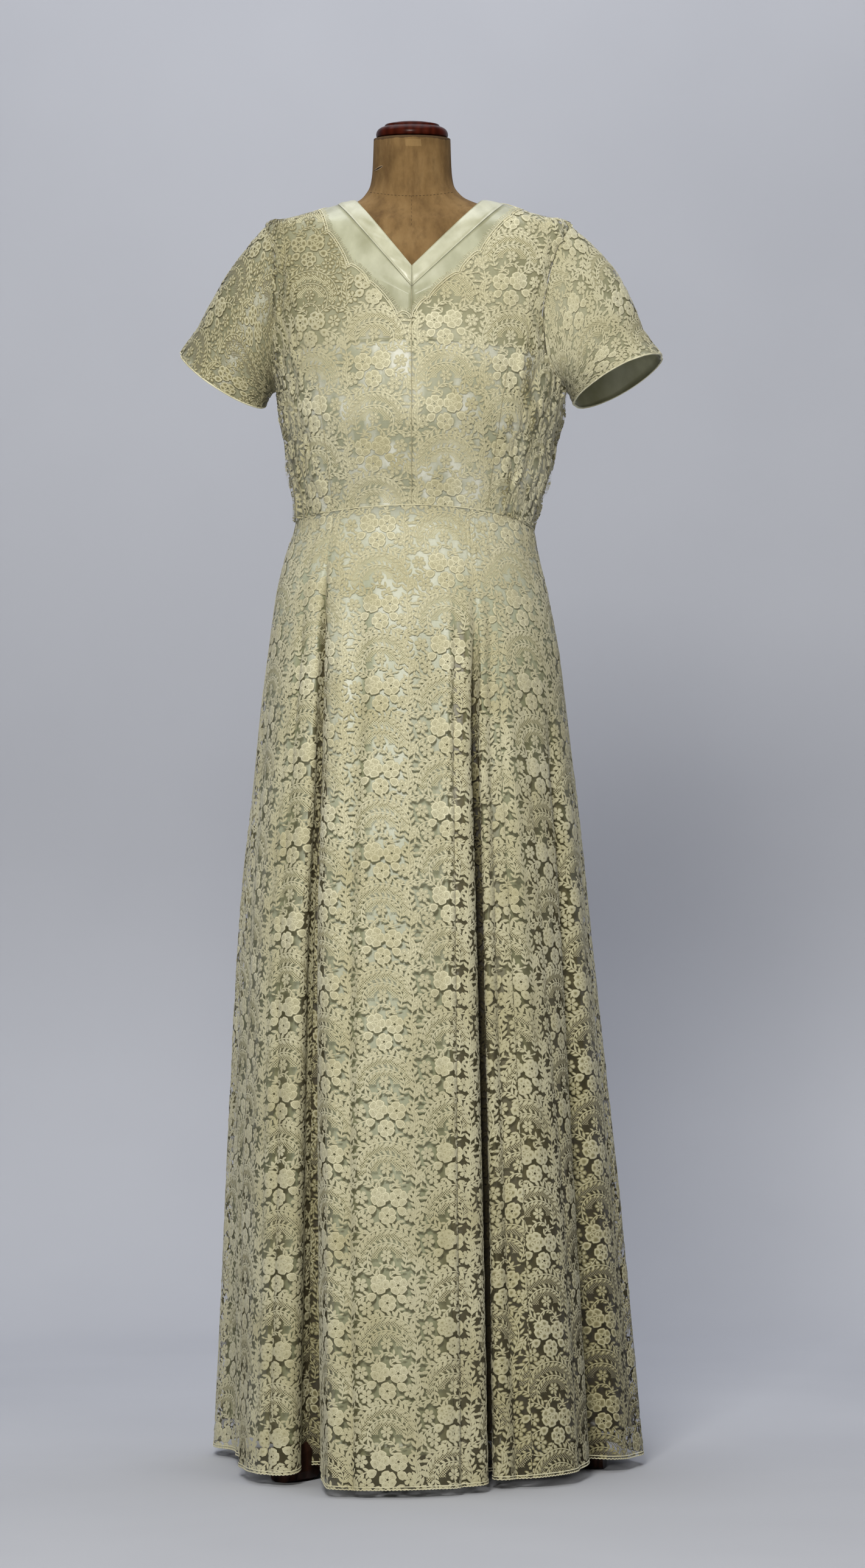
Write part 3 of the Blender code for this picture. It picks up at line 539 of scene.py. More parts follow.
def edge_out(height, side):
    """How far out a panel's edge lies: the side seam, then the armhole, then the shoulder seam."""
    armhole = looked_up(ARMHOLE, ARMHOLE_COLUMNS, side, height) - COVER
    inside = (height > ARMHOLE[0][0]) & (height < ARMHOLE[-1][0])
    return np.where(inside, np.minimum(armhole, reach(side, height)), reach(side, height))


def row_index(name):
    return [row[0] for row in BODICE_ROWS].index(name)


def bodice_rows(name, spots):
    return smooth_between(np.arange(len(BODICE_ROWS)), column(BODICE_ROWS, BODICE_COLUMNS, name), spots)


def waist_under(turn, side, face):
    """The waist seam's height at a turn from the side to the centre."""
    angle = turn if side == "right" else math.pi - turn
    return waist_height(angle if face == "front" else -angle)


def bodice_half(side, face, rows, columns):
    """A grid of the bodice: the given rows of its table, and columns from the edge in to the centre."""
    centre, edge = bodice_rows(face, rows)[:, None], bodice_rows("edge", rows)
    near_waist = np.clip(1.0 - rows, 0.0, 1.0)
    edge = edge - WAIST_TILT * SIGN[side] * near_waist
    turn = np.linspace(0.0, math.pi / 2, columns + 1)[None, :]
    out = edge_out(edge, side)[:, None] * np.cos(turn)
    rise = np.cos(turn) if face == "front" else np.cos(turn) ** 2
    height = centre + (edge[:, None] - centre) * rise
    height = height + (waist_under(turn, side, face) - height[:1]) * near_waist[:, None]
    points, away = body_surface(out, height, side, face)
    away[..., 2] *= np.clip(rows * 2, 0.0, 1.0)[:, None]
    return points, unit(away)


def pull_in(points, sides):
    """Moves the named borders of a grid in by half the seam gap."""
    points = points.copy()
    borders = {
        "first_row": (np.s_[0], np.s_[1]),
        "last_row": (np.s_[-1], np.s_[-2]),
        "first_column": (np.s_[:, 0], np.s_[:, 1]),
        "last_column": (np.s_[:, -1], np.s_[:, -2]),
    }
    for side in sides:
        border, inner = borders[side]
        points[border] += unit(points[inner] - points[border]) * SEAM_GAP / 2
    return points


# Meshes


def link(obj):
    bpy.context.scene.collection.objects.link(obj)
    return obj


def new_object(name, verts, faces, material):
    mesh = bpy.data.meshes.new(name)
    mesh.from_pydata(verts.tolist(), [], faces)
    mesh.materials.append(material)
    mesh.shade_smooth()
    return link(bpy.data.objects.new(name, mesh))


def add_mesh(name, verts, faces, material, flat, merged=True):
    """A piece from points and a list of face arrays, without the faces that have shrunk to nothing."""
    chosen, kept = np.arange(len(verts)), []
    if merged:
        keys = np.round(verts / MERGE).astype(np.int64)
        chosen, renumbered = np.unique(keys, axis=0, return_index=True, return_inverse=True)[1:]
        faces = [renumbered.reshape(-1)[block] for block in faces]
    for block in faces:
        whole = np.all(block != np.roll(block, -1, axis=1), axis=1)
        kept += block[whole].tolist()
        for face in block[~whole].tolist():
            corners = list(dict.fromkeys(face))
            if len(corners) > 2:
                kept.append(corners)
    used = np.zeros(len(chosen), bool)
    used[np.fromiter((corner for face in kept for corner in face), int)] = True
    renumbered = (np.cumsum(used) - 1).tolist()
    kept = [[renumbered[corner] for corner in face] for face in kept]
    chosen = chosen[used]
    obj = new_object(name, verts[chosen] + AXIS, kept, material)
    attribute = obj.data.attributes.new("flat", "FLOAT_VECTOR", "POINT")
    attribute.data.foreach_set("vector", flat[chosen].astype(np.float32).ravel())
    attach(obj, "root")
    return obj


def grid_quads(rows, columns, outward=True):
    index = np.arange(rows * columns).reshape(rows, columns)
    quads = np.stack([index[:-1, :-1], index[:-1, 1:], index[1:, 1:], index[1:, :-1]], axis=-1)
    return quads.reshape(-1, 4)[:, :: 1 if outward else -1]


def round_quads(index):
    """Quads between closed rings of points."""
    after = np.roll(index, -1, axis=1)
    return np.stack([index[:-1], after[:-1], after[1:], index[1:]], axis=-1).reshape(-1, 4)[:, ::-1]


def turns(count):
    """Equal turns round a circle, from 0."""
    return np.arange(count) * 2 * math.pi / count


def faces_outward(points, away):
    """Whether a grid's quads, taken row by row, face the way its outward directions point."""
    across = points[1:, 1:] - points[:-1, :-1]
    along = points[1:, :-1] - points[:-1, 1:]
    facing = np.sum(np.cross(across, along) * away[:-1, :-1], axis=-1)
    return facing.sum() > 0


def add_wall(name, panel, points, away, wall, material):
    """A closed wall of satin between two offsets of one grid."""
    rows, columns = points.shape[:2]
    outward = faces_outward(points, away)
    count = rows * columns
    quads = grid_quads(rows, columns, not outward)
    index = np.arange(count).reshape(rows, columns)
    loop = np.concatenate([index[0, :-1], index[:-1, -1], index[-1, :0:-1], index[:0:-1, 0]])
    after = np.roll(loop, -1)
    rim = np.stack([loop, after, after + count, loop + count], axis=1)
    verts = np.concatenate([points + away * offset for offset in wall]).reshape(-1, 3)
    faces = [quads, quads[:, ::-1] + count, rim[:, ::-1] if outward else rim]
    flat = np.concatenate([panel.flat()] * 2).reshape(-1, 3)
    return add_mesh(f"{name}_cloth", verts, faces, material, flat)


def add_net(name, points, away, spots, up):
    """The net of a piece of lace, a single layer, from where its points lie in the flat cloth."""
    x, y, mirror = LACE_STARTS[name]
    quads = grid_quads(*points.shape[:2], not faces_outward(points, away))
    verts = (points + away * NET_LIFT).reshape(-1, 3)
    flat = (spots - np.array([x, y, 0.0])) * np.array([-1.0 if mirror else 1.0, up, 1.0])
    return add_mesh(f"{name}_net", verts, [quads], NET, flat.reshape(-1, 3))


# No cord runs along this direction, from which the sides of each are found.
TUBE_REFERENCE = np.array([0.31, 0.17, 0.93])


def tube(path, radius, sides):
    """Points and faces of a round cord along a path, closed at its ends."""
    path = np.asarray(path, float)
    along = unit(np.gradient(path, axis=0))
    side = unit(np.cross(along, TUBE_REFERENCE))
    up = np.cross(side, along)
    cosine, sine = (wave(turns(sides))[None, :, None] for wave in (np.cos, np.sin))
    rings = path[:, None] + radius * (cosine * side[:, None] + sine * up[:, None])
    index = np.arange(len(path) * sides).reshape(len(path), sides)
    ends = [
        np.stack([np.full(sides - 2, ring[0]), ring[1:-1], ring[2:]], axis=-1)
        for ring in (index[0][::-1], index[-1])
    ]
    return rings.reshape(-1, 3), round_quads(index), np.concatenate(ends)


def add_cords(name, paths, radius, material, sides):
    """One piece of many round cords."""
    verts, quads, ends, count = [], [], [], 0
    for path in paths:
        points, sides_of, ends_of = tube(path, radius, sides)
        verts.append(points)
        quads.append(sides_of + count)
        ends.append(ends_of + count)
        count += len(points)
    verts = np.concatenate(verts)
    flat = np.column_stack([verts[:, 0], verts[:, 2], np.ones(len(verts))])
    return add_mesh(name, verts, [np.concatenate(quads), np.concatenate(ends)], material, flat)


# The chart of the lace


CURVE_STEPS = 12
TURN_LEFT = np.array([[0.0, 1.0], [-1.0, 0.0]])


def spline(before, start, end, after, t):
    """A smooth curve's point at a share t of the way from start to end."""
    bend = 2 * before - 5 * start + 4 * end - after
    twist = 3 * start - before - 3 * end + after
    return 0.5 * (2 * start + (end - before) * t + bend * t**2 + twist * t**3)


def lengths(line):
    """The length of a line up to each of its points."""
    return np.concatenate([[0], np.cumsum(np.linalg.norm(np.diff(line, axis=0), axis=-1))])


def along_line(line, spots):
    """Points of a line at lengths along it."""
    return np.stack([np.interp(spots, lengths(line), values) for values in line.T], axis=-1)


def smooth_curve(points, step):
    """A curve through points, sampled about a step apart."""
    points = np.asarray(points, float)
    ends = np.concatenate([[2 * points[0] - points[1]], points, [2 * points[-1] - points[-2]]])
    t = np.linspace(0, 1, CURVE_STEPS, endpoint=False)[:, None]
    line = [spline(*four, t) for four in zip(ends, ends[1:], ends[2:], ends[3:])]
    line = np.concatenate(line + [points[-1:]])
    length = lengths(line)[-1]
    return along_line(line, np.linspace(0, length, max(3, int(round(length / step)) + 1)))


def strip(index, after, low, high):
    """Triangles between two rows of points, numbered from low and from high."""
    return [
        np.stack([index + low, after + low, after + high], axis=1),
        np.stack([index + low, after + high, index + high], axis=1),
    ]


class Chart:
    """Gathers the motifs of one layer: points (across, up, rise, tone) and triangles, in metres.

    The tone is 1 on a raised cord and 0 at the edge of a filling; it sets how much painted shade the
    thread gets."""

    def __init__(self):
        self.verts, self.faces, self.count = [], [], 0

    def add(self, verts, faces, tones):
        self.verts.append(np.column_stack([verts, tones]))
        self.faces.append(np.concatenate(faces) + self.count)
        self.count += len(verts)

    def done(self):
        return np.concatenate(self.verts), np.concatenate(self.faces)

    def patch(self, outline, base, rises, insets, tones):
        """A motif inside an outline: rings that step in and up, then a fan to its middle."""
        middle = outline.mean(axis=0)
        size = np.linalg.norm(outline - middle, axis=1, keepdims=True)
        count, rings, faces = len(outline), [], []
        for inset, rise in zip(insets, rises):
            ring = outline + (middle - outline) * np.minimum(inset / size, INSET_LIMIT)
            rings.append(np.column_stack([ring, np.full(count, base + rise)]))
        verts = np.concatenate(rings + [np.array([[*middle, base + rises[-1]]])])
        index = np.arange(count)
        after = np.roll(index, -1)
        top = (len(rings) - 1) * count
        for low in range(0, top, count):
            faces += strip(index, after, low, low + count)
        faces.append(np.stack([index + top, after + top, np.full(count, len(verts) - 1)], axis=1))
        self.add(verts, faces, np.repeat(tones, [count] * len(rings) + [1]))

    def petal(self, root, direction, length, width, base):
        """A round petal that grows from its root, with a raised cord round it."""
        turn = turns(PETAL_SIDES)
        along = length * (0.5 - 0.5 * np.cos(turn)) ** PETAL_POWER
        notch = 1 - NOTCH_DEPTH * np.exp(-(((turn - math.pi) / NOTCH_WIDTH) ** 2))
        across = PETAL_HALF * width * np.sin(turn) * (PETAL_ROOT + PETAL_TIP * along / length)
        outline = place(along * notch, across, root, direction)
        self.patch(outline, base, (0.0, CORD_CREST, FILLING), (0.0, PETAL_CORD), (0.0, 1.0, 0.10))

    def pad(self, along, across, root, direction, crest):
        """A small padded motif: its outline and one raised point in its middle."""
        outline = place(np.asarray(along), np.asarray(across), root, direction)
        self.patch(outline, 0.0, (0.0, crest), (0.0,), (0.30, 1.0))

    def ring(self, centre, radius, base, sides):
        """A small raised ring with an open middle."""
        circle = np.stack([np.cos(turns(sides)), np.sin(turns(sides))], axis=1)
        verts = [
            np.column_stack([centre + circle * radius * size, np.full(sides, base + rise)])
            for size, rise in RING_CIRCLES
        ]
        index = np.arange(sides)
        after = np.roll(index, -1)
        faces = strip(index, after, 0, sides) + strip(index, after, sides, 2 * sides)
        self.add(np.concatenate(verts), faces, np.repeat([0.5, 1.0, 0.0], sides))

    def leaf(self, root, direction, length):
        """A pointed leaf."""
        self.pad(length * LEAF_ALONG, length * LEAF_WIDTH * LEAF_ACROSS, root, direction, LEAF_CREST)

    def stem(self, line):
        """A raised thread along a line."""
        side = unit(np.gradient(line, axis=0)) @ TURN_LEFT * STEM_WIDTH / 2
        count = len(line)
        rows = ((line + side, 0.0), (line, STEM_CREST), (line - side, 0.0))
        verts = np.concatenate([np.column_stack([row, np.full(count, rise)]) for row, rise in rows])
        index = np.arange(count - 1)
        faces = strip(index, index + 1, 0, count) + strip(index, index + 1, count, 2 * count)
        self.add(verts, faces, np.repeat([0.4, 1.0, 0.4], count))


def place(along, across, root, direction):
    """Local points of a motif, turned to a direction and moved to its root."""
    c, s = math.cos(direction), math.sin(direction)
    return np.stack([root[0] + along * c - across * s, root[1] + along * s + across * c], axis=1)


def polar(angle, length):
    return length * np.array([math.cos(angle), math.sin(angle)])


def flowers_in(rows, petals):
    """Each flower's centre and radius in metres, and the directions of its petals."""
    for x, y, radius, turn in rows:
        angles = [math.radians(turn + 360 / petals * i) for i in range(petals)]
        yield np.array([x, y]) * MM, radius * MM, angles


def draw_flowers():
    """The single petals, open flowers, roses and daisies of one repeat."""
    chart = Chart()
    for x, y, angle, length, width in PETALS:
        chart.petal(np.array([x, y]) * MM, math.radians(angle), length * MM, width * MM, 0.0)
    for centre, radius, angles in flowers_in(FLOWERS, 5):
        length, width = (radius * share for share in FLOWER_PETAL)
        for i, angle in enumerate(angles):
            base = FIRST_LAYER + PETAL_OVERLAP * (i % 2)
            chart.petal(centre + polar(angle, FLOWER_ROOT * radius), angle, length, width, base)
        chart.ring(centre, FLOWER_MIDDLE * radius, FIRST_LAYER + FLOWER_RING, 8)
    for centre, radius, angles in flowers_in(ROSES, 3):
        length, width = (radius * share for share in ROSE_PETAL)
        for angle in angles:
            chart.petal(centre, angle, length, width, SECOND_LAYER)
    for centre, radius, angles in flowers_in(DAISIES, 6):
        along, across = radius * DAISY_ALONG, radius * DAISY_WIDTH * DAISY_ACROSS
        for angle in angles:
            chart.pad(along, across, centre, angle, DAISY_CREST)
        chart.ring(centre, DAISY_MIDDLE * radius, FIRST_LAYER + DAISY_RING, 5)
    return chart.done()


def draw_sprays():
    """The leafy stems of one repeat: pairs of leaves that vary in size and in lean, and one at the tip."""
    chart = Chart()
    for points, leaf, spacing in SPRAYS:
        points = np.array(points) * MM
        chart.stem(smooth_curve(points, STEM_STEP))
        if not leaf:
            continue
        roots = smooth_curve(points, LEAF_SPREAD * spacing * MM)
        for i, (root, way) in enumerate(zip(roots, unit(np.gradient(roots, axis=0)))):
            turn = math.atan2(way[1], way[0])
            size = leaf * MM * (1.00 + LEAF_VARIATION * math.sin(LEAF_WAVE * i))
            lean = math.radians(LEAF_LEAN[0] - LEAF_LEAN[1] * (i % 2))
            for side in (1, -1) if i < len(roots) - 1 else (0,):
                chart.leaf(root, turn + side * lean, size)
    return chart.done()


def blend(grid, row, column, down, right):
    """A grid's value between four of its points, at shares of the way down and to the right."""
    upper = grid[row, column] * (1 - right) + grid[row, column + 1] * right
    lower = grid[row + 1, column] * (1 - right) + grid[row + 1, column + 1] * right
    return upper * (1 - down) + lower * down


class Panel:
    """A panel of cloth: a grid of points with the lengths across it and along it."""

    STEPS = 400

    def __init__(self, points, away, centre=None, gather=None, shade=None):
        centre = points.shape[1] // 2 if centre is None else centre
        self.points, self.away = points, away
        self.shade = np.zeros((*points.shape[:2], 1)) if shade is None else shade
        step = np.linalg.norm(np.diff(points, axis=1), axis=-1)
        if gather is not None:
            step = step * gather[:, 1:]
        across = np.concatenate([np.zeros((len(step), 1)), np.cumsum(step, axis=1)], axis=1)
        self.across = across - across[:, [centre]]
        self.along = lengths(points[:, centre])
        share = np.linspace(0, 1, self.STEPS + 1)
        spans = (self.across - self.across[:, :1]) / (self.across[:, -1:] - self.across[:, :1])
        self.columns = np.stack([np.interp(share, row, np.arange(points.shape[1])) for row in spans])

    def flat(self):
        """Where the grid's points lie in the flat cloth, and their painted shade."""
        along = np.broadcast_to(self.along[:, None], self.across.shape)
        return np.stack([self.across, along, self.shade[..., 0]], axis=-1)

    def cut(self):
        """The flat piece's greatest width, its length and its area."""
        points = self.points
        widths = self.across[:, -1] - self.across[:, 0]
        crossed = np.cross(points[1:, 1:] - points[:-1, :-1], points[1:, :-1] - points[:-1, 1:])
        area = 0.5 * np.linalg.norm(crossed, axis=-1)
        gathered = np.diff(self.across, axis=1) / np.linalg.norm(np.diff(points, axis=1), axis=-1)
        area = float(np.sum(area * gathered[1:]))
        rows = np.linalg.norm(np.diff(points, axis=0), axis=-1).sum(axis=0)
        return float(widths.max()), float(max(self.along[-1], rows.max())), area

    def place(self, across, along, rise):
        """Points over the cloth, whether each lies beyond its borders, and its painted shade."""
        last_row, last_column = self.points.shape[0] - 2, self.points.shape[1] - 2
        row = np.interp(along, self.along, np.arange(len(self.along)))
        r = np.minimum(row.astype(int), last_row)
        down = row - r
        start = self.across[r, 0] * (1 - down) + self.across[r + 1, 0] * down
        end = self.across[r, -1] * (1 - down) + self.across[r + 1, -1] * down
        share = (across - start) / (end - start)
        step = np.clip(share, 0, 1) * self.STEPS
        k = np.minimum(step.astype(int), self.STEPS - 1)
        spot = blend(self.columns, r, k, down, step - k)
        c = np.minimum(spot.astype(int), last_column)
        at = (r, c, down[:, None], (spot - c)[:, None])
        points = blend(self.points, *at) + unit(blend(self.away, *at)) * rise[:, None]
        beyond = np.stack([share <= 0, share >= 1, along <= 0, along >= self.along[-1]], axis=1)
        return points, beyond, blend(self.shade, *at)[:, 0]


MOTIF_MARGIN = 0.09


def lay_motifs(name, panel, chart, start, up, mirror, fit):
    """Repeats one layer of the chart over a panel and cuts it off at the panel's borders."""
    verts, faces = chart
    hand = -1 if mirror else 1
    length = panel.along[-1]
    sides = sorted(hand * (across - start[0]) for across in (panel.across.min(), panel.across.max()))
    ends = sorted(up * (along - start[1]) for along in (0, length))
    first, last = (sides[0] - MOTIF_MARGIN) / COLUMN_STEP, (sides[1] + MOTIF_MARGIN) / COLUMN_STEP
    low, high = (ends[0] - MOTIF_MARGIN) / REPEAT_HEIGHT, (ends[1] + MOTIF_MARGIN) / REPEAT_HEIGHT
    rise = MOTIF_LIFT + verts[:, 2]
    all_verts, all_faces, count = [], [], 0
    for i in range(math.floor(first), math.ceil(last) + 1):
        for j in range(math.floor(low) - 1, math.ceil(high) + 1):
            moved = verts[:, :2] + np.array([i * COLUMN_STEP, (j + 0.5 * (i % 2)) * REPEAT_HEIGHT])
            across = start[0] + moved[:, 0] * hand
            along = start[1] + up * moved[:, 1]
            if not ((along > 0) & (along < length)).any():
                continue
            placed, beyond, shade = panel.place(across, along, rise)
            if fit is not None:
                placed, outside = fit(placed, rise)
                beyond = np.concatenate([beyond, outside], axis=1)
            lost = np.any(np.all(beyond[faces], axis=1), axis=1)
            if lost.all():
                continue
            # The panel's painted shade is taken off each point's tone.
            all_verts.append(np.column_stack([placed, across, along, verts[:, 3] - shade]))
            all_faces.append(faces[~lost] + count)
            count += len(verts)
    verts, faces = np.concatenate(all_verts), np.concatenate(all_faces)
    if (up > 0) == mirror:
        faces = faces[:, ::-1]
    return add_mesh(name, verts[:, :3], [faces], LACE, verts[:, 3:], merged=False)


def lay_lace(name, panel, up, fit=None):
    """Both layers of motifs over a panel of lace, from its place in the repeat."""
    x, y, mirror = LACE_STARTS[name]
    return [
        lay_motifs(f"{name}_{layer}", panel, chart, (x, y), up, mirror, fit)
        for layer, chart in (("flowers", FLOWER_CHART), ("sprays", SPRAY_CHART))
    ]


# Materials


class Shader:
    """A material and short ways to add nodes to it."""

    def __init__(self, name):
        self.material = bpy.data.materials.new(name)
        self.material.use_nodes = True
        self.nodes = self.material.node_tree.nodes
        self.links = self.material.node_tree.links
        self.surface = self.nodes["Principled BSDF"]

    def put(self, socket, value):
        if isinstance(value, bpy.types.NodeSocket):
            self.links.new(value, socket)
        elif value is not None:
            socket.default_value = value

    def set(self, **values):
        for name, value in values.items():
            self.put(self.surface.inputs[name.replace("_", " ")], value)

    def node(self, kind, inputs, **settings):
        """A new node's outputs."""
        node = self.nodes.new("ShaderNode" + kind)
        for name, value in settings.items():
            setattr(node, name, value)
        for name, value in inputs.items():
            self.put(node.inputs[name], value)
        return node.outputs

    def math(self, operation, *values):
        return self.node("Math", dict(enumerate(values)), operation=operation)[0]

    def vector(self, operation, *values):
        outputs = self.node("VectorMath", dict(enumerate(values)), operation=operation)
        return outputs["Value" if operation == "DOT_PRODUCT" else "Vector"]

    def scaled(self, vector, scale):
        return self.vector("MULTIPLY", vector, scale)

    def split(self, vector):
        return self.node("SeparateXYZ", {0: vector})

    def flat(self):
        return self.node("Attribute", {}, attribute_name="flat")["Vector"]

    def position(self):
        return self.node("NewGeometry", {})["Position"]

    def noise(self, vector, scale, detail, roughness=0.5):
        inputs = {"Vector": vector, "Scale": scale, "Detail": detail, "Roughness": roughness}
        return self.node("TexNoise", inputs)["Fac"]

    def wave(self, vector, scale, distortion=0.0, direction="X"):
        inputs = {"Vector": vector, "Scale": scale, "Distortion": distortion}
        return self.node("TexWave", inputs, bands_direction=direction)["Fac"]

    def bump(self, height, distance, strength, normal=None):
        inputs = {"Height": height, "Distance": distance, "Strength": strength, "Normal": normal}
        return self.node("Bump", inputs)["Normal"]

    def mix(self, share, tone, plain):
        """A colour with a share of another, plain one in it."""
        return self.node("Mix", {0: share, 6: tone, 7: (*plain, 1.0)}, data_type="RGBA")[2]

    def ramp(self, value, *stops):
        node = self.nodes.new("ShaderNodeValToRGB")
        self.put(node.inputs["Fac"], value)
        elements = node.color_ramp.elements
        while len(elements) < len(stops):
            elements.new(0.5)
        for element, (spot, tone) in zip(elements, stops):
            element.position = spot
            element.color = (*tone, 1.0)
        return node.outputs["Color"]

    def in_fold(self, tone, depth):
        """A colour with painted shade that goes dark with the depth of a fold."""
        hidden = self.math("MINIMUM", self.math("MAXIMUM", depth, 0.0), FOLD_LIMIT)
        return self.mix(hidden, tone, FOLD_DARK)


# The net's meshes and how much of each its threads take, then the colours.
NET_PITCH = 0.00130
NET_THREAD = 0.11
SATIN_LIGHT = (0.940, 0.955, 0.855)
SATIN_DEEP = (0.470, 0.490, 0.345)
# The skirt's lining, painted from the shade of its darkest folds to a painted light at the waist, where it
# lies close under the lace.
LINING_TONES = (
    (0.00, (0.040, 0.030, 0.012)),
    (0.22, (0.130, 0.112, 0.048)),
    (0.40, (0.262, 0.270, 0.145)),
    (0.55, (0.430, 0.460, 0.290)),
    (0.70, (0.610, 0.655, 0.490)),
    (0.83, (0.850, 0.880, 0.740)),
)
# The lace's thread, between deep and light at random, and LACE_SHADE, the painted shade of its relief,
# which also darkens its stripes of thread and is the net's darker tone.
LACE_LIGHT = (0.900, 0.855, 0.605)
LACE_DEEP = (0.680, 0.625, 0.385)
LACE_SHADE = (0.290, 0.258, 0.122)
# The colour of the painted shade deep in a fold, and the most of it that a colour takes.
FOLD_DARK = (0.030, 0.020, 0.008)
FOLD_LIMIT = 0.92
NET_LIGHT = (0.460, 0.410, 0.240)
YOKE_LIGHT = (0.500, 0.500, 0.335)
YOKE_DEEP = (0.340, 0.335, 0.200)
BAND_LIGHT = (0.600, 0.590, 0.415)
BAND_DEEP = (0.440, 0.430, 0.275)


def satin_material(name, tones, roughness, by_height=False):
    """Satin whose colour drifts over the cloth, or is painted lighter with the height and darker with the
    depth of a fold.
    """
    shader = Shader(name)
    flat, spot = shader.flat(), shader.position()
    if by_height:
        # Painted light and shade on the lining: lighter higher up, darker by the painted shade in the flat
        # attribute, and in upright streaks of painted shade.
        share = shader.math("MULTIPLY_ADD", shader.split(spot)["Z"], 0.33, 0.24)
        share = shader.math("SUBTRACT", share, shader.split(flat)["Z"])
        hung = shader.noise(shader.scaled(spot, (26.0, 26.0, 1.6)), 1.0, 3.0)
        share = shader.math("MULTIPLY_ADD", hung, 0.34, share)
        cloud = shader.math("MULTIPLY_ADD", shader.noise(spot, 9.0, 3.0), 0.10, share)
    else:
        cloud = shader.noise(shader.scaled(spot, (34.0, 34.0, 20.0)), 1.0, 4.0)
    weave = shader.wave(shader.scaled(flat, (1.0, 0.35, 0.0)), 900.0)
    ripple = shader.noise(shader.scaled(spot, (70.0, 70.0, 20.0)), 1.0, 4.0)
    bump = shader.bump(weave, 0.00004, 0.5, shader.bump(ripple, 0.0012, 0.35))
    shader.set(Base_Color=shader.ramp(cloud, *tones), Roughness=roughness, Normal=bump)
    shader.set(Sheen_Weight=0.25, Sheen_Roughness=0.35, Specular_IOR_Level=0.75)
    return shader.material


# How much painted shade a thread has, from the edge of a filling to the crest of a cord.
THREAD_SHADES = (
    (0.00, 0.95),
    (0.08, 0.60),
    (0.20, 0.50),
    (0.45, 0.44),
    (0.56, 0.22),
    (0.70, 0.74),
    (0.80, 0.02),
)


def thread_material(name, light, deep, shade):
    """Embroidery thread: painted lighter on the raised cords, deeper in the fillings, with painted shade
    at the motifs' edges and deep in a fold.
    """
    shader = Shader(name)
    flat = shader.flat()
    depth = shader.split(flat)["Z"]
    cloud = shader.noise(shader.position(), 14.0, 4.0)
    warp = shader.noise(flat, 260.0, 2.0)
    thread = shader.wave(shader.scaled(flat, (1.0, 0.6, 0.0)), 520.0, 9.0)
    fuzz = shader.noise(flat, 2200.0, 2.0)
    bump = shader.bump(fuzz, 0.00020, 0.7, shader.bump(thread, 0.00012, 0.6))
    tone = shader.ramp(cloud, (0.28, deep), (0.60, light))
    # Painted relief shade: the tone, less the painted shade of folds, with a little noise, sets how much
    # of the shade colour the thread takes.
    shade_depth = shader.math("ADD", depth, shader.math("MULTIPLY_ADD", warp, 0.24, -0.12))
    shaded = shader.ramp(shade_depth, *((spot, (share, share, share)) for spot, share in THREAD_SHADES))
    tone = shader.mix(shaded, tone, shade)
    tone = shader.in_fold(tone, shader.math("MULTIPLY", depth, -1.0))
    tone = shader.mix(shader.math("MULTIPLY", thread, 0.12), tone, shade)
    shader.set(Base_Color=tone, Roughness=0.82, Normal=bump)
    shader.set(Sheen_Weight=0.20, Sheen_Roughness=0.5, Specular_IOR_Level=0.30)
    return shader.material


def mesh_threads(shader, chart):
    """1 on the threads of a net of six-sided meshes."""
    flat = shader.scaled(chart, (1.0 / NET_PITCH, 1.0 / NET_PITCH, 0.0))
    cell = (1.0, math.sqrt(3.0), 1.0)
    near = []
    for shift in ((0.0, 0.0, 0.0), (0.5, math.sqrt(3.0) / 2, 0.0)):
        moved = shader.vector("ADD", flat, shift)
        share = shader.vector("FRACTION", shader.vector("DIVIDE", moved, cell))
        local = shader.vector("MULTIPLY", shader.vector("SUBTRACT", share, (0.5, 0.5, 0.0)), cell)
        local = shader.vector("ABSOLUTE", shader.vector("MULTIPLY", local, (1.0, 1.0, 0.0)))
        slant = shader.vector("DOT_PRODUCT", local, (0.5, math.sqrt(3.0) / 2, 0.0))
        straight = shader.vector("DOT_PRODUCT", local, (1.0, 0.0, 0.0))
        near.append(shader.math("MAXIMUM", slant, straight))
    edge = shader.math("SUBTRACT", 0.5, shader.math("MINIMUM", *near))
    return shader.math("LESS_THAN", edge, NET_THREAD / 2)


def crossed_threads(shader, chart):
    """1 on the crossed threads of the open-work grounds."""
    steps = shader.math("FLOOR", shader.math("MULTIPLY_ADD", chart["X"], 1.0 / COLUMN_STEP, 0.5))
    across = shader.math("MULTIPLY_ADD", steps, -COLUMN_STEP, chart["X"])
    up = shader.math("MULTIPLY", steps, -0.5)
    up = shader.math("MULTIPLY_ADD", chart["Y"], 1.0 / REPEAT_HEIGHT, up)
    up = shader.math("MULTIPLY", shader.math("FRACT", up), REPEAT_HEIGHT)
    grounds = None
    for row in HATCHES:
        size = {name: value * (1 if name == "inner" else MM) for name, value in zip(HATCH_COLUMNS, row)}
        x = shader.math("DIVIDE", shader.math("SUBTRACT", across, size["x"]), size["wide"])
        y = shader.math("DIVIDE", shader.math("SUBTRACT", up, size["y"]), size["high"])
        apart = shader.math("ADD", shader.math("MULTIPLY", x, x), shader.math("MULTIPLY", y, y))
        apart = shader.math("SQRT", apart)
        zone = shader.math("LESS_THAN", apart, 1.0)
        zone = shader.math("MULTIPLY", zone, shader.math("GREATER_THAN", apart, size["inner"]))
        if size["inner"] > 0:
            zone = shader.math("MULTIPLY", zone, shader.math("GREATER_THAN", y, ARCH_FOOT))
        grounds = zone if grounds is None else shader.math("MAXIMUM", grounds, zone)
    lines = []
    for hand in (1.0, -1.0):
        slant = shader.math("MULTIPLY_ADD", across, hand, up)
        share = shader.math("FRACT", shader.math("DIVIDE", slant, HATCH_PITCH))
        lines.append(shader.math("LESS_THAN", share, HATCH_THREAD))
    return shader.math("MULTIPLY", grounds, shader.math("MAXIMUM", *lines))


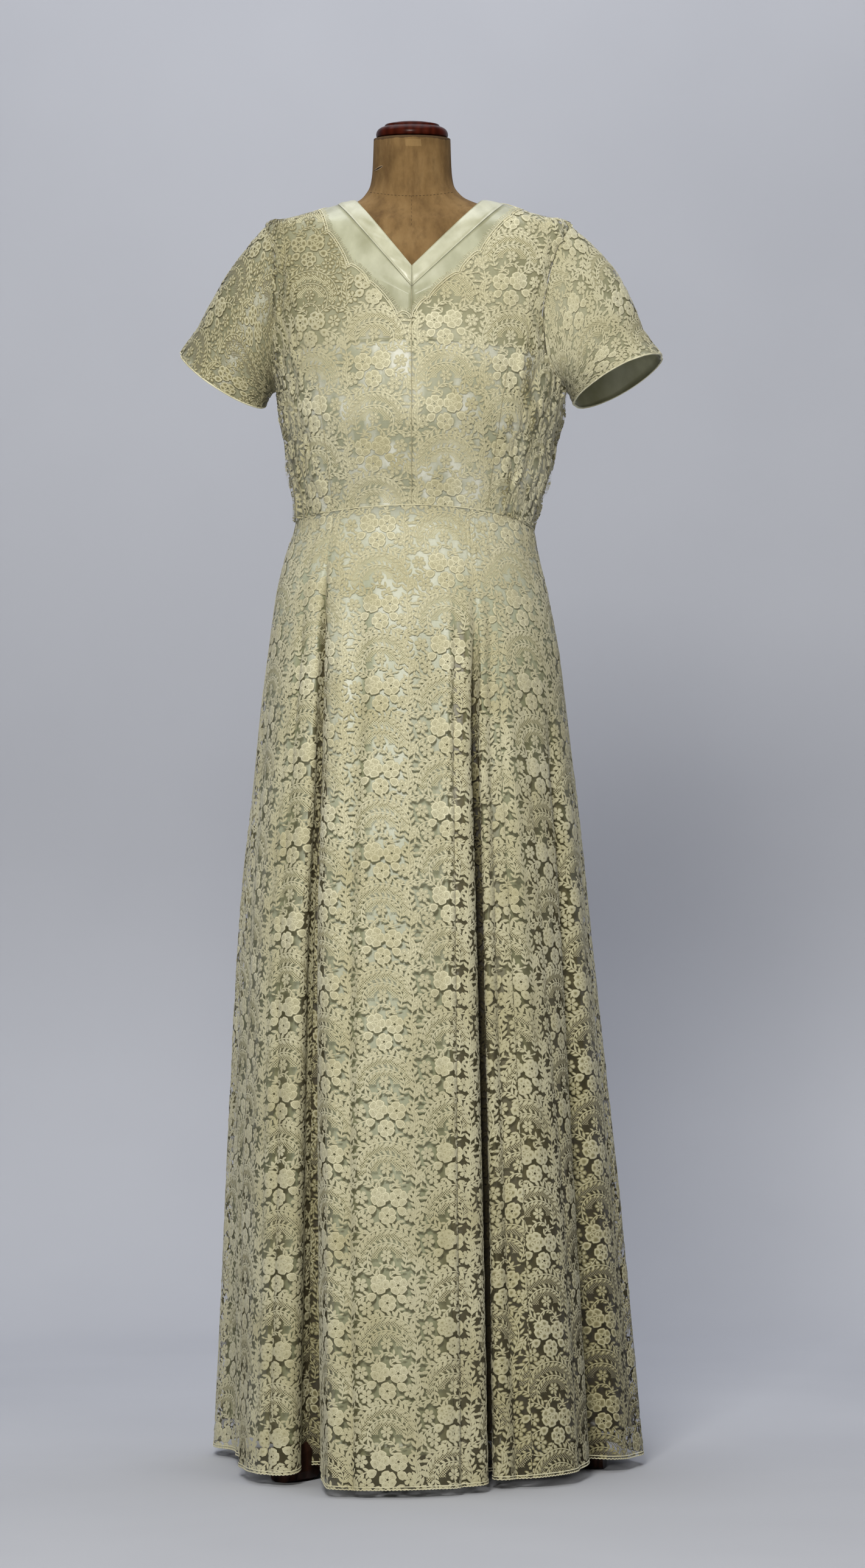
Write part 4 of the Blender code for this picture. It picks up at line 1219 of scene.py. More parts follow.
def net_material():
    """A net, open between its threads, with crossed threads in the lace's grounds."""
    shader = Shader("lace_net")
    chart = shader.flat()
    places = shader.split(chart)
    crossed = crossed_threads(shader, places)
    cloud = shader.noise(shader.position(), 12.0, 3.0)
    tone = shader.ramp(cloud, (0.3, LACE_SHADE), (0.7, NET_LIGHT))
    # Painted shade: the net goes dark with the painted shade of the skirt's folds, its right and its hem,
    # and of the sleeves.
    tone = shader.in_fold(shader.mix(crossed, tone, LACE_DEEP), places["Z"])
    threads = shader.math("MAXIMUM", mesh_threads(shader, chart), crossed)
    shader.set(Base_Color=tone, Roughness=0.85, Alpha=threads)
    return shader.material


# A lighter patch on the form's neck: its middle and half its size, across and up. Above the height of its
# edge the canvas is dark and frayed.
PATCH = (("X", -0.0095, 0.0095), ("Z", 1.5790, 0.0042))
NECK_EDGE = 1.5882


# The canvas's clouds, stains and streaks: how far each is drawn out upwards, its scale, detail and
# roughness. Then the colours of its clouds, marks, patch, frayed edge and threads.
CANVAS_NOISES = ((0.55, 22.0, 5.0, 0.6), (0.25, 60.0, 4.0, 0.6), (0.30, 75.0, 4.0, 0.7))
CANVAS_TONES = (
    (0.32, (0.120, 0.066, 0.020)),
    (0.52, (0.225, 0.132, 0.048)),
    (0.72, (0.310, 0.195, 0.080)),
)
STAIN_COLOUR = (0.085, 0.040, 0.012)
STREAK_COLOUR = (0.055, 0.026, 0.008)
PATCH_COLOUR = (0.42, 0.27, 0.11)
FRAYED_COLOUR = (0.030, 0.014, 0.006)
CANVAS_THREAD = (0.38, 0.25, 0.12)


def canvas_material():
    """Old canvas with stains and streaks, a patch, and a frayed upper edge."""
    shader = Shader("old_canvas")
    spot = shader.position()
    places = shader.split(spot)
    weave = shader.math("MULTIPLY", *(shader.wave(spot, 380.0, 0.6, axis) for axis in ("X", "Z")))
    cloud, stain, streak = (
        shader.noise(shader.scaled(spot, (1.0, 1.0, drawn)), scale, detail, roughness)
        for drawn, scale, detail, roughness in CANVAS_NOISES
    )
    tone = shader.ramp(cloud, *CANVAS_TONES)
    for marks, most, dark in ((stain, 0.5, STAIN_COLOUR), (streak, 0.4, STREAK_COLOUR)):
        share = shader.ramp(marks, (0.50, (0, 0, 0)), (0.70, (most, most, most)))
        tone = shader.mix(share, tone, dark)
    ragged = shader.math("MULTIPLY_ADD", stain, 0.004, -0.002)
    inside = shader.math("LESS_THAN", places["Y"], 0.0)
    for axis, middle, half in PATCH:
        apart = shader.math("ABSOLUTE", shader.math("SUBTRACT", places[axis], middle))
        near = shader.math("LESS_THAN", shader.math("ADD", apart, ragged), half)
        inside = shader.math("MULTIPLY", inside, near)
    tone = shader.mix(shader.math("MULTIPLY", inside, 0.36), tone, PATCH_COLOUR)
    edge = shader.math("GREATER_THAN", shader.math("MULTIPLY_ADD", stain, 0.006, places["Z"]), NECK_EDGE)
    tone = shader.mix(shader.math("MULTIPLY", edge, 0.75), tone, FRAYED_COLOUR)
    tone = shader.mix(shader.math("MULTIPLY", weave, 0.26), tone, CANVAS_THREAD)
    shader.set(Base_Color=tone, Roughness=0.88, Normal=shader.bump(weave, 0.00035, 0.6))
    shader.set(Specular_IOR_Level=0.25)
    return shader.material


def wood_material(name, light, dark, roughness):
    """Dark polished wood with an upright grain."""
    shader = Shader(name)
    spot = shader.position()
    grain = shader.wave(shader.scaled(spot, (1.0, 1.0, 0.35)), 30.0, 7.0)
    fine = shader.noise(shader.scaled(spot, (1.0, 1.0, 0.08)), 220.0, 5.0)
    tone = shader.ramp(grain, (0.0, dark), (1.0, light))
    tone = shader.mix(shader.math("MULTIPLY", fine, 0.5), tone, dark)
    shader.set(Base_Color=tone, Roughness=roughness, Normal=shader.bump(fine, 0.0003, 0.25))
    shader.set(Coat_Weight=0.05, Coat_Roughness=0.10, Specular_IOR_Level=0.06)
    return shader.material


def plain_material(name, tone, roughness):
    shader = Shader(name)
    cloud = shader.noise(shader.position(), 60.0, 3.0)
    deep = tuple(0.6 * value for value in tone)
    shader.set(Base_Color=shader.ramp(cloud, (0.3, deep), (0.7, tone)), Roughness=roughness)
    return shader.material


SATIN = satin_material("satin", ((0.46, SATIN_DEEP), (0.62, SATIN_LIGHT)), 0.42)
YOKE_SATIN = satin_material("satin_yoke", ((0.35, YOKE_DEEP), (0.65, YOKE_LIGHT)), 0.31)
BAND_SATIN = satin_material("satin_band", ((0.38, BAND_DEEP), (0.62, BAND_LIGHT)), 0.28)
LINING = satin_material("satin_lining", LINING_TONES, 0.34, by_height=True)
LACE = thread_material("lace_thread", LACE_LIGHT, LACE_DEEP, LACE_SHADE)
NET = net_material()
CANVAS = canvas_material()
WOOD = wood_material("mahogany", (0.068, 0.010, 0.004), (0.034, 0.005, 0.002), 0.32)
DARK_WOOD = wood_material("dark_wood", (0.040, 0.016, 0.010), (0.014, 0.006, 0.004), 0.45)
SEAM = plain_material("seam_thread", (0.520, 0.470, 0.290), 0.8)
STITCH = plain_material("old_stitch", (0.035, 0.018, 0.008), 0.9)
PALE_CANVAS = plain_material("pale_canvas", (0.460, 0.320, 0.170), 0.9)

FLOWER_CHART = draw_flowers()
SPRAY_CHART = draw_sprays()


# The skirt


def closed_spline(values, steps):
    """A smooth loop through the rows, with this many columns for each of them."""
    before, after, beyond = (np.roll(values, shift, axis=0) for shift in (1, -1, -2))
    columns = [spline(before, values, after, beyond, step / steps) for step in range(steps)]
    return np.stack(columns, axis=1).reshape(-1, values.shape[1])


def section_point(angle, height):
    """A point of the lining's section without folds, at an angle round the axis."""
    wide = np.where(np.cos(angle) >= 0, reach("right", height), reach("left", height))
    deep = np.where(np.sin(angle) >= 0, reach("front", height), reach("back", height))
    return np.stack([wide * np.cos(angle), -deep * np.sin(angle)], axis=-1)


def round_table(name, spots):
    """A column of the folds' table at any place round the skirt."""
    values = column(FOLDS, FOLD_COLUMNS, name)
    turn = 360.0 if name.endswith("deg") else 0.0
    knots = np.arange(-2, len(FOLDS) + 3)
    wrapped = values[knots % len(FOLDS)] + turn * np.floor(knots / len(FOLDS))
    return smooth_between(knots.astype(float), wrapped, spots)


# How far under the waist seam the skirt's outward directions turn level.
WAIST_LEVEL = 0.03


def skirt_surface(rows, steps, to_lining_hem):
    """Rows from the waist seam down, columns round the skirt, and their outward directions."""
    names = ("hem_x", "hem_front", "hem_height")
    hem = np.stack([column(FOLDS, FOLD_COLUMNS, name) for name in names], axis=1) * (1, -1, 1)
    hem = closed_spline(hem, steps)
    spots = np.arange(len(hem)) / steps
    waist, hip = (np.radians(round_table(name, spots)) for name in ("waist_deg", "hip_deg"))
    start = round_table("start", spots)
    top = waist_height(waist)
    bottom = LINING_HEM if to_lining_hem else hem[:, 2]
    hem_section = section_point(hip, hem[:, 2])
    points = []
    for share in rows:
        height = top + (bottom - top) * share
        down = np.clip((top - height) / (top - HIP_HEIGHT), 0.0, 1.0)
        angle = waist + (hip - waist) * down * down * (3 - 2 * down)
        weight = np.clip((start - height) / (start - hem[:, 2]), 0.0, 1.0) ** FOLD_POWER
        plan = section_point(angle, height) + weight[:, None] * (hem[:, :2] - hem_section)
        points.append(np.column_stack([plan, height]))
    points = np.stack(points)
    rise = crease_rise(spots[None, :], points[..., 2])
    points = points + outward_directions(points) * rise[..., None]
    away = outward_directions(points)
    near_waist = 1 - fade(0.0, WAIST_LEVEL, top[None, :] - points[..., 2])
    away[..., 2] *= 1 - near_waist
    return points, unit(away)


def outward_directions(points):
    around = np.roll(points, -1, axis=1) - np.roll(points, 1, axis=1)
    away = unit(np.cross(around, np.gradient(points, axis=0)))
    return away if np.sum(away[0, 0] * points[0, 0]) > 0 else -away


# A crease is deeper the lower down it is: its depth at a height, and what each metre below adds.
CREASE_FULL = 1.1
CREASE_SHARE = 0.7
CREASE_GAIN = 0.5


def crease_rise(spots, heights):
    """How far the slighter folds and ripples move the skirt's cloth out."""
    rise = np.zeros(np.broadcast(spots, heights).shape)
    deeper = CREASE_SHARE + CREASE_GAIN * (CREASE_FULL - heights)
    for row in CREASES:
        crease = dict(zip(CREASE_COLUMNS, row))
        waver = CREASE_WAVER * noise(heights * WAVER_PITCH, crease["place"])
        apart = (spots - crease["place"] + waver) / crease["width"]
        grown = fade(crease["top"], crease["top"] - CREASE_FADE, heights)
        if crease["bottom"] > 0:
            grown = grown * fade(crease["bottom"] - CREASE_FADE, crease["bottom"], heights)
        rise = rise + crease["rise"] * grown * np.exp(-(apart**2)) * deeper
    for row in SKIRT_RIPPLES:
        wave = dict(zip(RIPPLE_COLUMNS, row))
        size = wave["rise"] * fade(wave["none"], wave["full"], heights)
        rise = rise + noise(spots * wave["round"], heights * wave["up"], wave["seed"]) * size
    return rise


def fold_shades(spots, points, layer):
    """How much painted shade the skirt's cloth gets in its folds, on its right and toward the hem."""
    heights = points[..., 2]
    shade = np.zeros(heights.shape)
    for row in FOLD_SHADES:
        line = dict(zip(SHADE_COLUMNS, row))
        waver = SHADE_WAVER * noise(heights * WAVER_PITCH, line["place"])
        apart = (spots - line["place"] + waver) / line["width"]
        shade += line[layer] * np.exp(-(apart**2)) * fade(line["top"], line["full"], heights)
    across, below = RIGHT_START
    turned_away = np.maximum(points[..., 0] - across, 0.0) * np.maximum(below - heights, 0.0)
    low = HEM_SHADE[layer] * fade(*HEM_SHADE_HEIGHTS, heights)
    return (shade + RIGHT_SHADE[layer] * turned_away + low)[..., None]


def between_folds(grid, first, last, steps):
    """The columns of a round grid from one fold's line to another's."""
    names = [row[0] for row in FOLDS]
    start, end = names.index(first) * steps, names.index(last) * steps
    if end <= start:
        end += grid.shape[1]
    return grid[:, np.arange(start, end + 1) % grid.shape[1]]


# Rows down the skirt, and columns for each of the folds' rows.
LINING_GRID = (64, 6)
NET_GRID = (84, 8)
# The heights where the lining starts to sway and the lace to hang free, and where they do so in full.
SWAY_HEIGHTS = (1.06, 0.70)
HANG_HEIGHTS = (1.08, 0.70)
SKIRT_BORDERS = ("first_row", "first_column", "last_column")
ALL_BORDERS = ("first_column", "last_column", "first_row", "last_row")
# The skirt's hem: a cord that bobs along the edge, one inside it, and their step, thickness and lift.
PICOT_STEP = 0.0014
PICOT_INSET = 0.0010
PICOT_WAVE = 0.0006
PICOT_DIP = 0.0004
INNER_INSET = 0.0036
PICOT_RADIUS = 0.00065
PICOT_LIFT = NET_LIFT + 0.0004
FORM_PIECE = "form_torso_canvas"
sheets = []


def keep_sheet(node, obj, panel, held, rests_on, others=()):
    """Lets a piece of cloth stand for its node, and keeps its cut in a list."""
    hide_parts(node)
    sheets.append((obj, panel.cut(), held, rests_on, others))


def declare_sheets():
    for obj, (width, length, area), held, rests_on, others in sheets:
        min(area, width * length)
        list(others)


def satin_piece(name, panel, points, away, wall, material, held):
    """A piece of satin, which the form carries."""
    keep_sheet(name, add_wall(name, panel, points, away, wall, material), panel, held, FORM_PIECE)


def skirt_pieces(points, away, shades, steps, pieces):
    """Each piece's name, grid and outward directions, with its panel."""
    for name, first, last in pieces:
        part = pull_in(between_folds(points, first, last, steps), SKIRT_BORDERS)
        shade = between_folds(shades, first, last, steps)
        out = between_folds(away, first, last, steps)
        yield name, part, out, Panel(part, out, shade=shade)


def build_skirt_lining():
    rows, steps = LINING_GRID
    points, away = skirt_surface(np.linspace(0, 1, rows), steps, True)
    loose = fade(*SWAY_HEIGHTS, points[..., 2])
    spots = np.arange(points.shape[1]) / steps
    sway = noise(spots[None, :] * 1.3, points[..., 2] * 1.5, 71)
    points = points - away * (loose * LINING_SWAY * (0.5 + 0.5 * sway))[..., None]
    shades = fold_shades(spots, points, "lining")
    for name, part, out, panel in skirt_pieces(points, away, shades, steps, LINING_PANELS):
        satin_piece(name, panel, part, out, SATIN_SIDES, LINING, "hung")


def skirt_hem(name, panel):
    """The scalloped cord along the skirt's edge, and the straight one inside it."""
    ends = panel.across[-1]
    line = np.linspace(ends[0], ends[-1], int(np.ptp(ends) / PICOT_STEP))
    lift = np.full(len(line), PICOT_LIFT)
    wave = np.abs(np.sin(np.arange(len(line)) * math.pi / 3))
    edge = panel.place(line, panel.along[-1] - PICOT_INSET + PICOT_WAVE * wave, lift)[0]
    edge[:, 2] -= PICOT_DIP * wave
    inner = panel.place(line, np.full(len(line), panel.along[-1] - INNER_INSET), lift)[0]
    return add_cords(f"{name}_hem", [edge, inner], PICOT_RADIUS, LACE, 4)


def build_skirt_lace():
    rows, steps = NET_GRID
    points, away = skirt_surface(np.linspace(0, 1, rows), steps, False)
    loose = fade(*HANG_HEIGHTS, points[..., 2])
    spots = np.arange(points.shape[1]) / steps
    near = [share * np.exp(-(((spots - spot) / width) ** 2)) for spot, width, share in DRAWN_IN]
    points = points + away * (loose * LACE_HANG * (1 - sum(near)))[..., None]
    shades = fold_shades(spots, points, "lace")
    for name, part, out, panel in skirt_pieces(points, away, shades, steps, LACE_GORES):
        net = add_net(name, part, out, panel.flat(), -1)
        others = lay_lace(name, panel, -1) + [skirt_hem(name, panel)]
        lining = "satin_skirt_back_cloth" if "back" in name else "satin_skirt_front_cloth"
        keep_sheet(name, net, panel, "hung", lining, others)


# The bodice


# How far out the seams up to the bust lie, and the width over which the lace beside them crinkles.
BUST_SEAM_COLUMNS = ("height", "left", "right")
BUST_SEAMS = (
    (1.124, 0.090, 0.086),
    (1.200, 0.099, 0.096),
    (1.295, 0.110, 0.110),
    (1.400, 0.128, 0.130),
    (1.500, 0.150, 0.160),
)
CRINKLE_FADE = 0.018
# Rows and columns of each grid. Those of the back are columns for each half.
BODICE_GRIDS = {
    "satin_bodice_front": (46, 44),
    "satin_yoke": (34, 60),
    "neck_band": (11, 70),
    "lace_bodice_front": (96, 76),
    "satin_bodice_back": (54, 30),
    "neck_band_back": (9, 50),
    "lace_bodice_back": (76, 56),
}
# The level grid over which the bodice's lace lies flat, and the share of its width that is gathered in at
# its sides, and of that on the back.
CHART_HEIGHTS = np.linspace(1.100, 1.516, 100)
CHART_COLUMNS = 60
SIDE_GATHER = 0.55
BACK_GATHER = 0.4
# How much painted shade the lace gets under the left shoulder, between these heights and places across,
# and in its hollows at the sides.
SHOULDER_SHADE = 0.60
SHOULDER_HEIGHTS = (1.30, 1.40)
SHOULDER_ACROSS = (-0.02, -0.09)
SIDE_SHADE = 0.9
# A neck band's dome and ripple, and how far its wall reaches in and out.
BAND_DOME = 0.0012
BAND_RIPPLE = 0.0008
BAND_WALL = (-SATIN_WALL - 0.0004, 0.0003)
# The scalloped edge: cords at distances inside it and heights over the body, bars between them, and
# eyelashes outside it with their length, its variation, their lean and their heights.
# Beside them, the nearest that they come to the centre, and how far under the edge the motifs end.
LASH_STEP = 0.0012
EDGE_CORDS = ((0.0, 0.0020), (0.0026, 0.0022))
EDGE_RADIUS = 0.00048
BAR_LENGTH = 0.0026
BAR_RISE = 0.0019
BAR_RADIUS = 0.00030
LASH_LENGTH = 0.0050
LASH_VARIATION = 0.0014
LASH_LEAN = 0.0006
LASH_RISES = (0.0018, 0.0022, 0.0013)
LASH_RADIUS = 0.00026
NEAREST_CENTRE = 0.0006
MOTIF_EDGE_GAP = 0.0008


def bust_seam(heights, side):
    """How far out the seam up to the bust lies."""
    knots, places = (column(BUST_SEAMS, BUST_SEAM_COLUMNS, name) for name in ("height", side))
    return np.interp(heights, knots, places)


def crinkle(points, side):
    """0 in the bodice's front panel, 1 outside the seams that run up to the bust."""
    return fade(0.0, CRINKLE_FADE, np.abs(points[..., 0]) - bust_seam(points[..., 2], side))


# How high the bodice's satin stands in its slanting pulls and its finer ripples.
SATIN_PULL = 0.0007
SATIN_FINE = 0.00030
# How far the bodice's lace stands off at the sides, with its folds and its finer crumples, and how far it
# waves in front.
LACE_OFF = 0.0021
LACE_FOLDS = 0.0030
LACE_CRUMPLES = 0.0016
LACE_CALM = 0.00025


def satin_ripples(points, seed):
    """How far the bodice's satin waves."""
    x, z = points[..., 0], points[..., 2]
    pull = noise(x * 38 + z * 24, z * 14 - x * 9, seed) * SATIN_PULL
    return pull + noise(x * 90 + z * 40, z * 30, seed + 1) * SATIN_FINE


def lace_lift(points, side, seed):
    """How far the lace stands off the lining: wrinkled at the sides, smooth in front."""
    x, y, z = points[..., 0], points[..., 1], points[..., 2]
    round_it = np.arctan2(x, np.abs(y) + 0.02) * 0.15
    mask = crinkle(points, side)
    fold = noise(round_it * 150 + 2.2 * noise(round_it * 40, z * 22, seed), z * 26, seed + 1)
    wrinkle = LACE_FOLDS * fold + LACE_CRUMPLES * noise(round_it * 330, z * 60, seed + 2)
    calm = LACE_CALM * noise(round_it * 90, z * 40, seed + 3)
    return (1 - mask) * calm + mask * (wrinkle + LACE_OFF)


def scallop_height(out, cusps):
    """The lace's upper edge as a height at a distance out: arcs that rise between the cusps."""
    places = column(cusps, SCALLOP_COLUMNS, "out")[::-1]
    heights = column(cusps, SCALLOP_COLUMNS, "height")[::-1]
    line = np.interp(out, places, heights, right=ABOVE_ALL)
    at = np.clip(np.searchsorted(places, out) - 1, 0, len(places) - 2)
    share = np.clip((out - places[at]) / (places[at + 1] - places[at]), 0.0, 1.0)
    return line + SCALLOP_RISE * np.sqrt(np.maximum(4 * share * (1 - share), 0.0))


def cut_at_scallops(points, away, cusps):
    """Ends each column of a grid where it meets the scalloped edge."""
    points, away = points.copy(), away.copy()
    for c in range(points.shape[1]):
        over = points[:, c, 2] - scallop_height(np.abs(points[:, c, 0]), cusps)
        crossed = np.nonzero(over > 0)[0]
        if len(crossed) == 0:
            continue
        last = max(crossed[0], 1)
        share = over[last - 1] / (over[last - 1] - over[last])
        for grid in (points, away):
            grid[last:, c] = grid[last - 1, c] + (grid[last, c] - grid[last - 1, c]) * share
    return points, unit(away)


def band_wall(name, points, away):
    """A neck band, a little domed across its width so that its edges dip at the seams."""
    points = pull_in(points, ALL_BORDERS[:3])
    share = np.linspace(0, 1, points.shape[0])[:, None]
    dome = BAND_DOME * (1 - np.abs(2 * share - 1) ** 4)
    along = (np.abs(points[..., 0]) + points[..., 2]) * 55 + share * 2.6
    ripple = noise(along, share * 0.9 + 0 * along, 11) + 0.5 * noise(along * 2.7, share, 12)
    ripple = ripple * BAND_RIPPLE * (1 - (2 * share - 1) ** 2)
    raised = points + away * (dome + ripple)[..., None]
    satin_piece(name, Panel(points, away), raised, away, BAND_WALL, BAND_SATIN, "draped")


def satin_panel(name, points, away, material, seed):
    part = pull_in(points, ALL_BORDERS)
    bent = part + away * satin_ripples(part, seed)[..., None]
    satin_piece(name, Panel(part, away), bent, away, SATIN_SIDES, material, "draped")


def scallop_line(cusps):
    """Points of the scalloped edge as distances out and heights."""
    share = (1 - np.cos(np.linspace(0, math.pi, 40, endpoint=False))) / 2
    arch = SCALLOP_RISE * np.sqrt(4 * share * (1 - share))
    line = []
    for (out_a, height_a), (out_b, height_b) in zip(cusps, cusps[1:]):
        height = height_a + (height_b - height_a) * share + arch
        line.append(np.stack([out_a + (out_b - out_a) * share, height], axis=1))
    line = np.concatenate(line + [np.array(cusps[-1:])])
    return along_line(line, np.arange(0, lengths(line)[-1], LASH_STEP))


def edge_trim(name, sides, face, cusps):
    """The corded scalloped edge with its bars and eyelashes, on one or both sides."""
    cords, bars, lashes = [], [], []
    line = scallop_line(cusps)
    inward = -unit(np.gradient(line, axis=0)) @ TURN_LEFT
    inward = inward * np.where(inward[:, 1:] > 0, -1, 1)
    for side in sides:

        def laid(spots, rise):
            points, away = body_surface(np.maximum(spots[:, 0], NEAREST_CENTRE), spots[:, 1], side, face)
            return points + away * np.broadcast_to(rise, len(spots))[:, None]

        cords += [laid(line + inward * inset, rise) for inset, rise in EDGE_CORDS]
        for i, (spot, way) in enumerate(zip(line, inward)):
            if i % 2 == 0:
                bars.append(laid(np.stack([spot, spot + way * BAR_LENGTH]), BAR_RISE))
            length = LASH_LENGTH + LASH_VARIATION * LATTICE[i % LATTICE_SIZE, 3]
            tip = spot - way * length + LASH_LEAN * LATTICE[i % LATTICE_SIZE, 7]
            lashes.append(laid(np.stack([spot, (spot + tip) / 2, tip]), LASH_RISES))
    return [
        add_cords(f"{name}_edge", cords, EDGE_RADIUS, LACE, 5),
        add_cords(f"{name}_bars", bars, BAR_RADIUS, LACE, 3),
        add_cords(f"{name}_eyelashes", lashes, LASH_RADIUS, LACE, 3),
    ]


def half_chart(side, face):
    """Half of the bodice as a level grid, from its outer edge in to the centre."""
    turn = np.linspace(0.0, math.pi / 2, CHART_COLUMNS + 1)[None, :]
    heights = CHART_HEIGHTS[:, None]
    return body_surface(reach(side, heights) * np.cos(turn), heights + 0 * turn, side, face)


def joined(halves):
    """A grid's points and directions, from one half or from two that meet at the centre."""
    if len(halves) == 1:
        return halves[0]
    return [np.concatenate([left, right[:, -2::-1]], axis=1) for left, right in zip(*halves)]


def chart_panel(sides, face):
    """The bodice's lace as it lies flat: a level grid over the body, gathered at its sides."""
    points, away = joined([half_chart(side, face) for side in sides])
    gather = 1 + SIDE_GATHER * (crinkle(points, sides[0]) if face == "front" else BACK_GATHER)
    # Painted shade: under the left shoulder, and in random hollows among the crinkles at the front's
    # sides.
    shade = SHOULDER_SHADE * fade(*SHOULDER_HEIGHTS, points[..., 2:])
    shade = shade * fade(*SHOULDER_ACROSS, points[..., :1])
    if face == "front":
        hollow = noise(points[..., 0] * 60 + points[..., 1] * 60, points[..., 2] * 26, 81)
        shade = shade + (SIDE_SHADE * crinkle(points, sides[0]) * np.maximum(hollow, 0.0))[..., None]
    return Panel(points, away, CHART_COLUMNS, gather + 0 * points[..., 0], shade)


def chart_spots(panel, points):
    """Where points of the bodice lie in its flat lace."""
    x, z = points[..., 0], points[..., 2]
    row = np.interp(z, CHART_HEIGHTS, np.arange(len(CHART_HEIGHTS)))
    r = np.minimum(row.astype(int), len(CHART_HEIGHTS) - 2)
    wide = np.where(x < 0, reach("left", z), reach("right", z))
    share = np.arccos(np.clip(np.abs(x) / wide, 0.0, 1.0)) / (math.pi / 2)
    spot = share * CHART_COLUMNS
    if panel.points.shape[1] > CHART_COLUMNS + 1:
        spot = np.where(x < 0, spot, 2 * CHART_COLUMNS - spot)
    c = np.minimum(spot.astype(int), panel.across.shape[1] - 2)
    across = blend(panel.across, r, c, row - r, spot - c)
    along = np.interp(row, np.arange(len(CHART_HEIGHTS)), panel.along)
    return np.stack([across, along, 0 * along], axis=-1)


def lace_on_body(face, cusps, seed):
    """A function that sets the lace's motifs on the bodice, between waist, armholes and scallops."""

    def fit(points, rise):
        placed = np.zeros_like(points)
        outside = np.zeros((len(points), 3), bool)
        for side, on_side in (("left", points[:, 0] < 0), ("right", points[:, 0] >= 0)):
            out, height = np.abs(points[on_side, 0]), points[on_side, 2]
            turn = np.arccos(np.clip(out / reach(side, height), 0.0, 1.0))
            low = waist_under(turn, side, face) + SEAM_GAP
            high = scallop_height(out, cusps) - MOTIF_EDGE_GAP
            wide = edge_out(height, side) - SEAM_GAP
            outside[on_side] = np.stack([height < low, height > high, out > wide], axis=1)
            height = np.clip(height, low, np.maximum(high, low))
            out = np.minimum(out, edge_out(height, side) - SEAM_GAP)
            base, away = body_surface(out, height, side, face)
            lift = lace_lift(base, side, seed) + rise[on_side]
            placed[on_side] = base + away * lift[:, None]
        return placed, outside

    return fit


def bodice_grid(piece, sides, face, first, last):
    """A piece's grid between two rows of the bodice's table, on one side or over both."""
    rows, columns = BODICE_GRIDS[piece]
    rows = np.linspace(row_index(first), row_index(last), rows)
    return joined([bodice_half(side, face, rows, columns) for side in sides])


def build_bodice_front(side):
    sides = (side,)
    grid = bodice_grid("satin_bodice_front", sides, "front", "waist", "yoke_seam")
    satin_panel(f"satin_bodice_front_{side}", *grid, SATIN, 2)
    grid = bodice_grid("satin_yoke", sides, "front", "yoke_seam", "band_edge")
    satin_panel(f"satin_yoke_{side}", *grid, YOKE_SATIN, 4)
    grid = bodice_grid("neck_band", sides, "front", "band_edge", "neckline")
    band_wall(f"neck_band_{side}", *grid)
    grid = bodice_grid("lace_bodice_front", sides, "front", "waist", "band_edge")
    lace_part(f"lace_bodice_front_{side}", *grid, sides, "front", SCALLOPS[side], 21)


def build_bodice_back():
    sides = ("left", "right")
    grid = bodice_grid("satin_bodice_back", sides, "back", "waist", "band_edge")
    satin_panel("satin_bodice_back", *grid, SATIN, 6)
    grid = bodice_grid("neck_band_back", sides, "back", "band_edge", "neckline")
    band_wall("neck_band_back", *grid)
    grid = bodice_grid("lace_bodice_back", sides, "back", "waist", "band_edge")
    lace_part("lace_bodice_back", *grid, sides, "back", SCALLOPS["back"], 41)


def lace_part(name, points, away, sides, face, cusps, seed):
    """A piece of the bodice's lace: its net up to the scallops, its motifs and its trimmed edge."""
    points = pull_in(points, ALL_BORDERS[:3])
    cut = Panel(points, away, points.shape[1] - 1)
    flat = chart_panel(sides, face)
    raised = points + away * lace_lift(points, sides[0], seed)[..., None]
    top, top_away = cut_at_scallops(raised, away, cusps)
    net = add_net(name, top, top_away, chart_spots(flat, top), 1)
    others = lay_lace(name, flat, 1, lace_on_body(face, cusps, seed))
    others += edge_trim(name, sides, face, cusps)
    keep_sheet(name, net, cut, "draped", name.replace("lace", "satin") + "_cloth", others)


# The sleeves

# Painted shade over each sleeve's lace, much more on the left.
SLEEVE_SHADES = {"left": 0.60, "right": 0.12}
SLEEVE_SATIN_GRID = (22, 96)
SLEEVE_LACE_GRID = (40, 160)
SLEEVE_RIPPLE = 0.0016
# How far the sleeve's lace stands off its lining, at least and with its waves.
SLEEVE_LIFT = 0.0003
SLEEVE_WAVES = 0.0005
SLEEVE_HEM_LIFT = 0.0006
SLEEVE_HEM_RADIUS = 0.0010


def armhole_loop(side, angle):
    """The armhole's seam at turns from the shoulder down the front to the armpit and up the back."""
    low, high = row_index("armpit"), row_index("shoulder_point")
    share = 1 - np.abs(angle / math.pi - 1)
    heights = bodice_rows("edge", high - (high - low) * share)
    out = edge_out(heights, side)
    front = body_surface(out, heights, side, "front")[0]
    back = body_surface(out, heights, side, "back")[0]
    return np.where((angle <= math.pi)[:, None], front, back)


